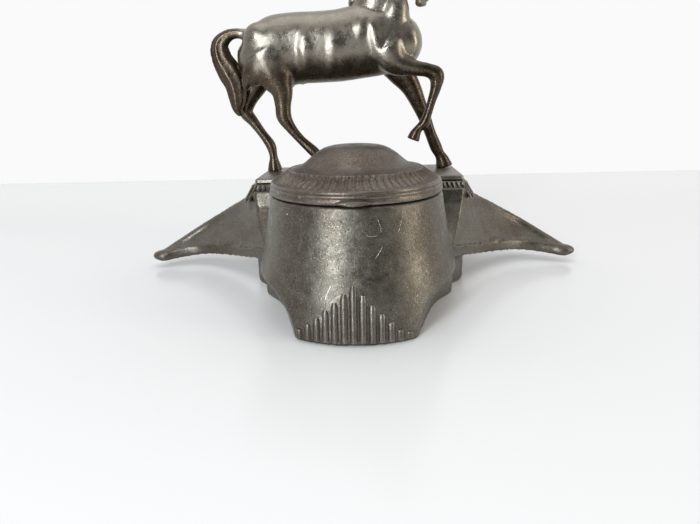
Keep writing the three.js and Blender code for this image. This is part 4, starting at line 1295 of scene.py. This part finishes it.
def set_camera():
    camera = bpy.data.cameras.new("camera")
    camera.lens = 27
    camera.sensor_width = 36
    camera.clip_start = 0.01
    viewer = bpy.data.objects.new("camera", camera)
    bpy.context.scene.collection.objects.link(viewer)
    yaw, pitch, roll = (math.radians(angle) for angle in CAMERA_TURN)
    flat = math.cos(pitch)
    ahead = Vector((math.sin(yaw) * flat, math.cos(yaw) * flat, -math.sin(pitch)))
    level = Vector((math.cos(yaw), -math.sin(yaw), 0))
    upward = level.cross(ahead)
    right = level * math.cos(roll) + upward * math.sin(roll)
    top = upward * math.cos(roll) - level * math.sin(roll)
    turn = Matrix((right, top, -ahead)).transposed().to_4x4()
    viewer.matrix_world = Matrix.Translation(Vector(CAMERA_PLACE) * TO_METRES) @ turn
    bpy.context.scene.camera = viewer
    bpy.context.scene.view_settings.view_transform = "Standard"


def build_stage():
    table_top()
    room_light()
    pot = (0, POT_Y * TO_METRES, 0.02)
    softbox("window", (-0.36, -0.78, 0.34), pot, 0.2, 0.75, 6.8, (0.88, 0.95, 1.0))
    softbox("lamp", (0.85, -0.30, 0.3), pot, 0.24, 0.6, 2.1, (1.0, 0.92, 0.78))
    softbox("ceiling", (-0.1, -0.1, 1.3), pot, 1.0, 0.8, 2.4, (1, 1, 1))
    set_camera()


# ------------------------------------------------------------------ settings
def length(name, description, default, low=0.0):
    return bpy.props.FloatProperty(
        name=name, description=description, default=default, min=low, unit="LENGTH", precision=5
    )


class InkwellSettings(bpy.types.PropertyGroup):
    rim_radius: length("Rim radius", "Radius of the pot at its rim", 0.031)
    foot_radius: length("Foot radius", "Radius of the pot's foot", 0.0379)
    wall: length("Wall", "Thickness of the base casting", 0.0028)
    scoop_height: length("Scoop height", "Height of the scoops beside the front foot", 0.016)
    scoop_flare: length("Scoop flare", "How far a scoop leans out by its top", 0.010)
    reed_count: bpy.props.IntProperty(
        name="Front ribs", description="Ribs on the front foot", default=13, min=1
    )
    reed_pitch: length("Rib pitch", "Spacing of the ribs on the front foot", 0.003)
    reed_radius: length("Rib radius", "Radius of a rib on the front foot", 0.00132)
    frieze_pitch: length("Frieze pitch", "Spacing of the ribs round the plinth", 0.002)
    flute_count: bpy.props.IntProperty(
        name="Lid flutes", description="Flutes round the lid", default=72, min=8
    )
    flute_depth: length("Flute depth", "Depth of a lid flute", 0.0009)
    skin: length("Casting skin", "Grain of the base casting's surface", 0.00062)
    horse_skin: length("Figure skin", "Grain of the figure's surface", 0.0005)


def settings_of(context):
    return context.scene.inkwell


# ------------------------------------------------------------------ operators
class INKWELL_OT_stage(bpy.types.Operator):
    """Set the table, the soft light and the camera"""

    bl_idname = "inkwell.stage"
    bl_label = "Stage"

    def execute(self, context):
        build_stage()
        return {"FINISHED"}


class INKWELL_OT_base(bpy.types.Operator):
    """Model the cast base: pot, pen trays, saddle and plinth"""

    bl_idname = "inkwell.base"
    bl_label = "Base casting"

    def execute(self, context):
        build_base(settings_of(context))
        return {"FINISHED"}


class INKWELL_OT_plate(bpy.types.Operator):
    """Model the plate that the horse stands on"""

    bl_idname = "inkwell.plate"
    bl_label = "Figure plate"

    def execute(self, context):
        build_plate()
        return {"FINISHED"}


class INKWELL_OT_lid(bpy.types.Operator):
    """Model the fluted lid"""

    bl_idname = "inkwell.lid"
    bl_label = "Lid"

    def execute(self, context):
        build_lid(settings_of(context))
        return {"FINISHED"}


class INKWELL_OT_fittings(bpy.types.Operator):
    """Model the porcelain liner and the hinge pin, and finish the screws and washers"""

    bl_idname = "inkwell.fittings"
    bl_label = "Liner, pin and fasteners"

    def execute(self, context):
        build_liner()
        build_pin()
        finish_fasteners()
        return {"FINISHED"}


class INKWELL_OT_horse(bpy.types.Operator):
    """Model the horse figure"""

    bl_idname = "inkwell.horse"
    bl_label = "Horse"

    def execute(self, context):
        build_horse(settings_of(context))
        return {"FINISHED"}


class INKWELL_PT_panel(bpy.types.Panel):
    """Sizes and building steps of the inkwell"""

    bl_label = "Inkwell"
    bl_idname = "INKWELL_PT_panel"
    bl_space_type = "VIEW_3D"
    bl_region_type = "UI"
    bl_category = "Inkwell"

    def draw(self, context):
        column = self.layout.column()
        for name in InkwellSettings.__annotations__:
            column.prop(settings_of(context), name)
        for step in STEPS:
            column.operator(step.bl_idname)


STEPS = (
    INKWELL_OT_stage,
    INKWELL_OT_base,
    INKWELL_OT_plate,
    INKWELL_OT_lid,
    INKWELL_OT_fittings,
    INKWELL_OT_horse,
)
CLASSES = (InkwellSettings, *STEPS, INKWELL_PT_panel)


def register():
    for cls in CLASSES:
        bpy.utils.register_class(cls)
    bpy.types.Scene.inkwell = bpy.props.PointerProperty(type=InkwellSettings)


def unregister():
    del bpy.types.Scene.inkwell
    for cls in reversed(CLASSES):
        bpy.utils.unregister_class(cls)


def main():
    register()
    bpy.ops.inkwell.stage()
    bpy.ops.inkwell.base()
    bpy.ops.inkwell.plate()
    bpy.ops.inkwell.lid()
    bpy.ops.inkwell.fittings()
    bpy.ops.inkwell.horse()


if __name__ == "__main__":
    main()
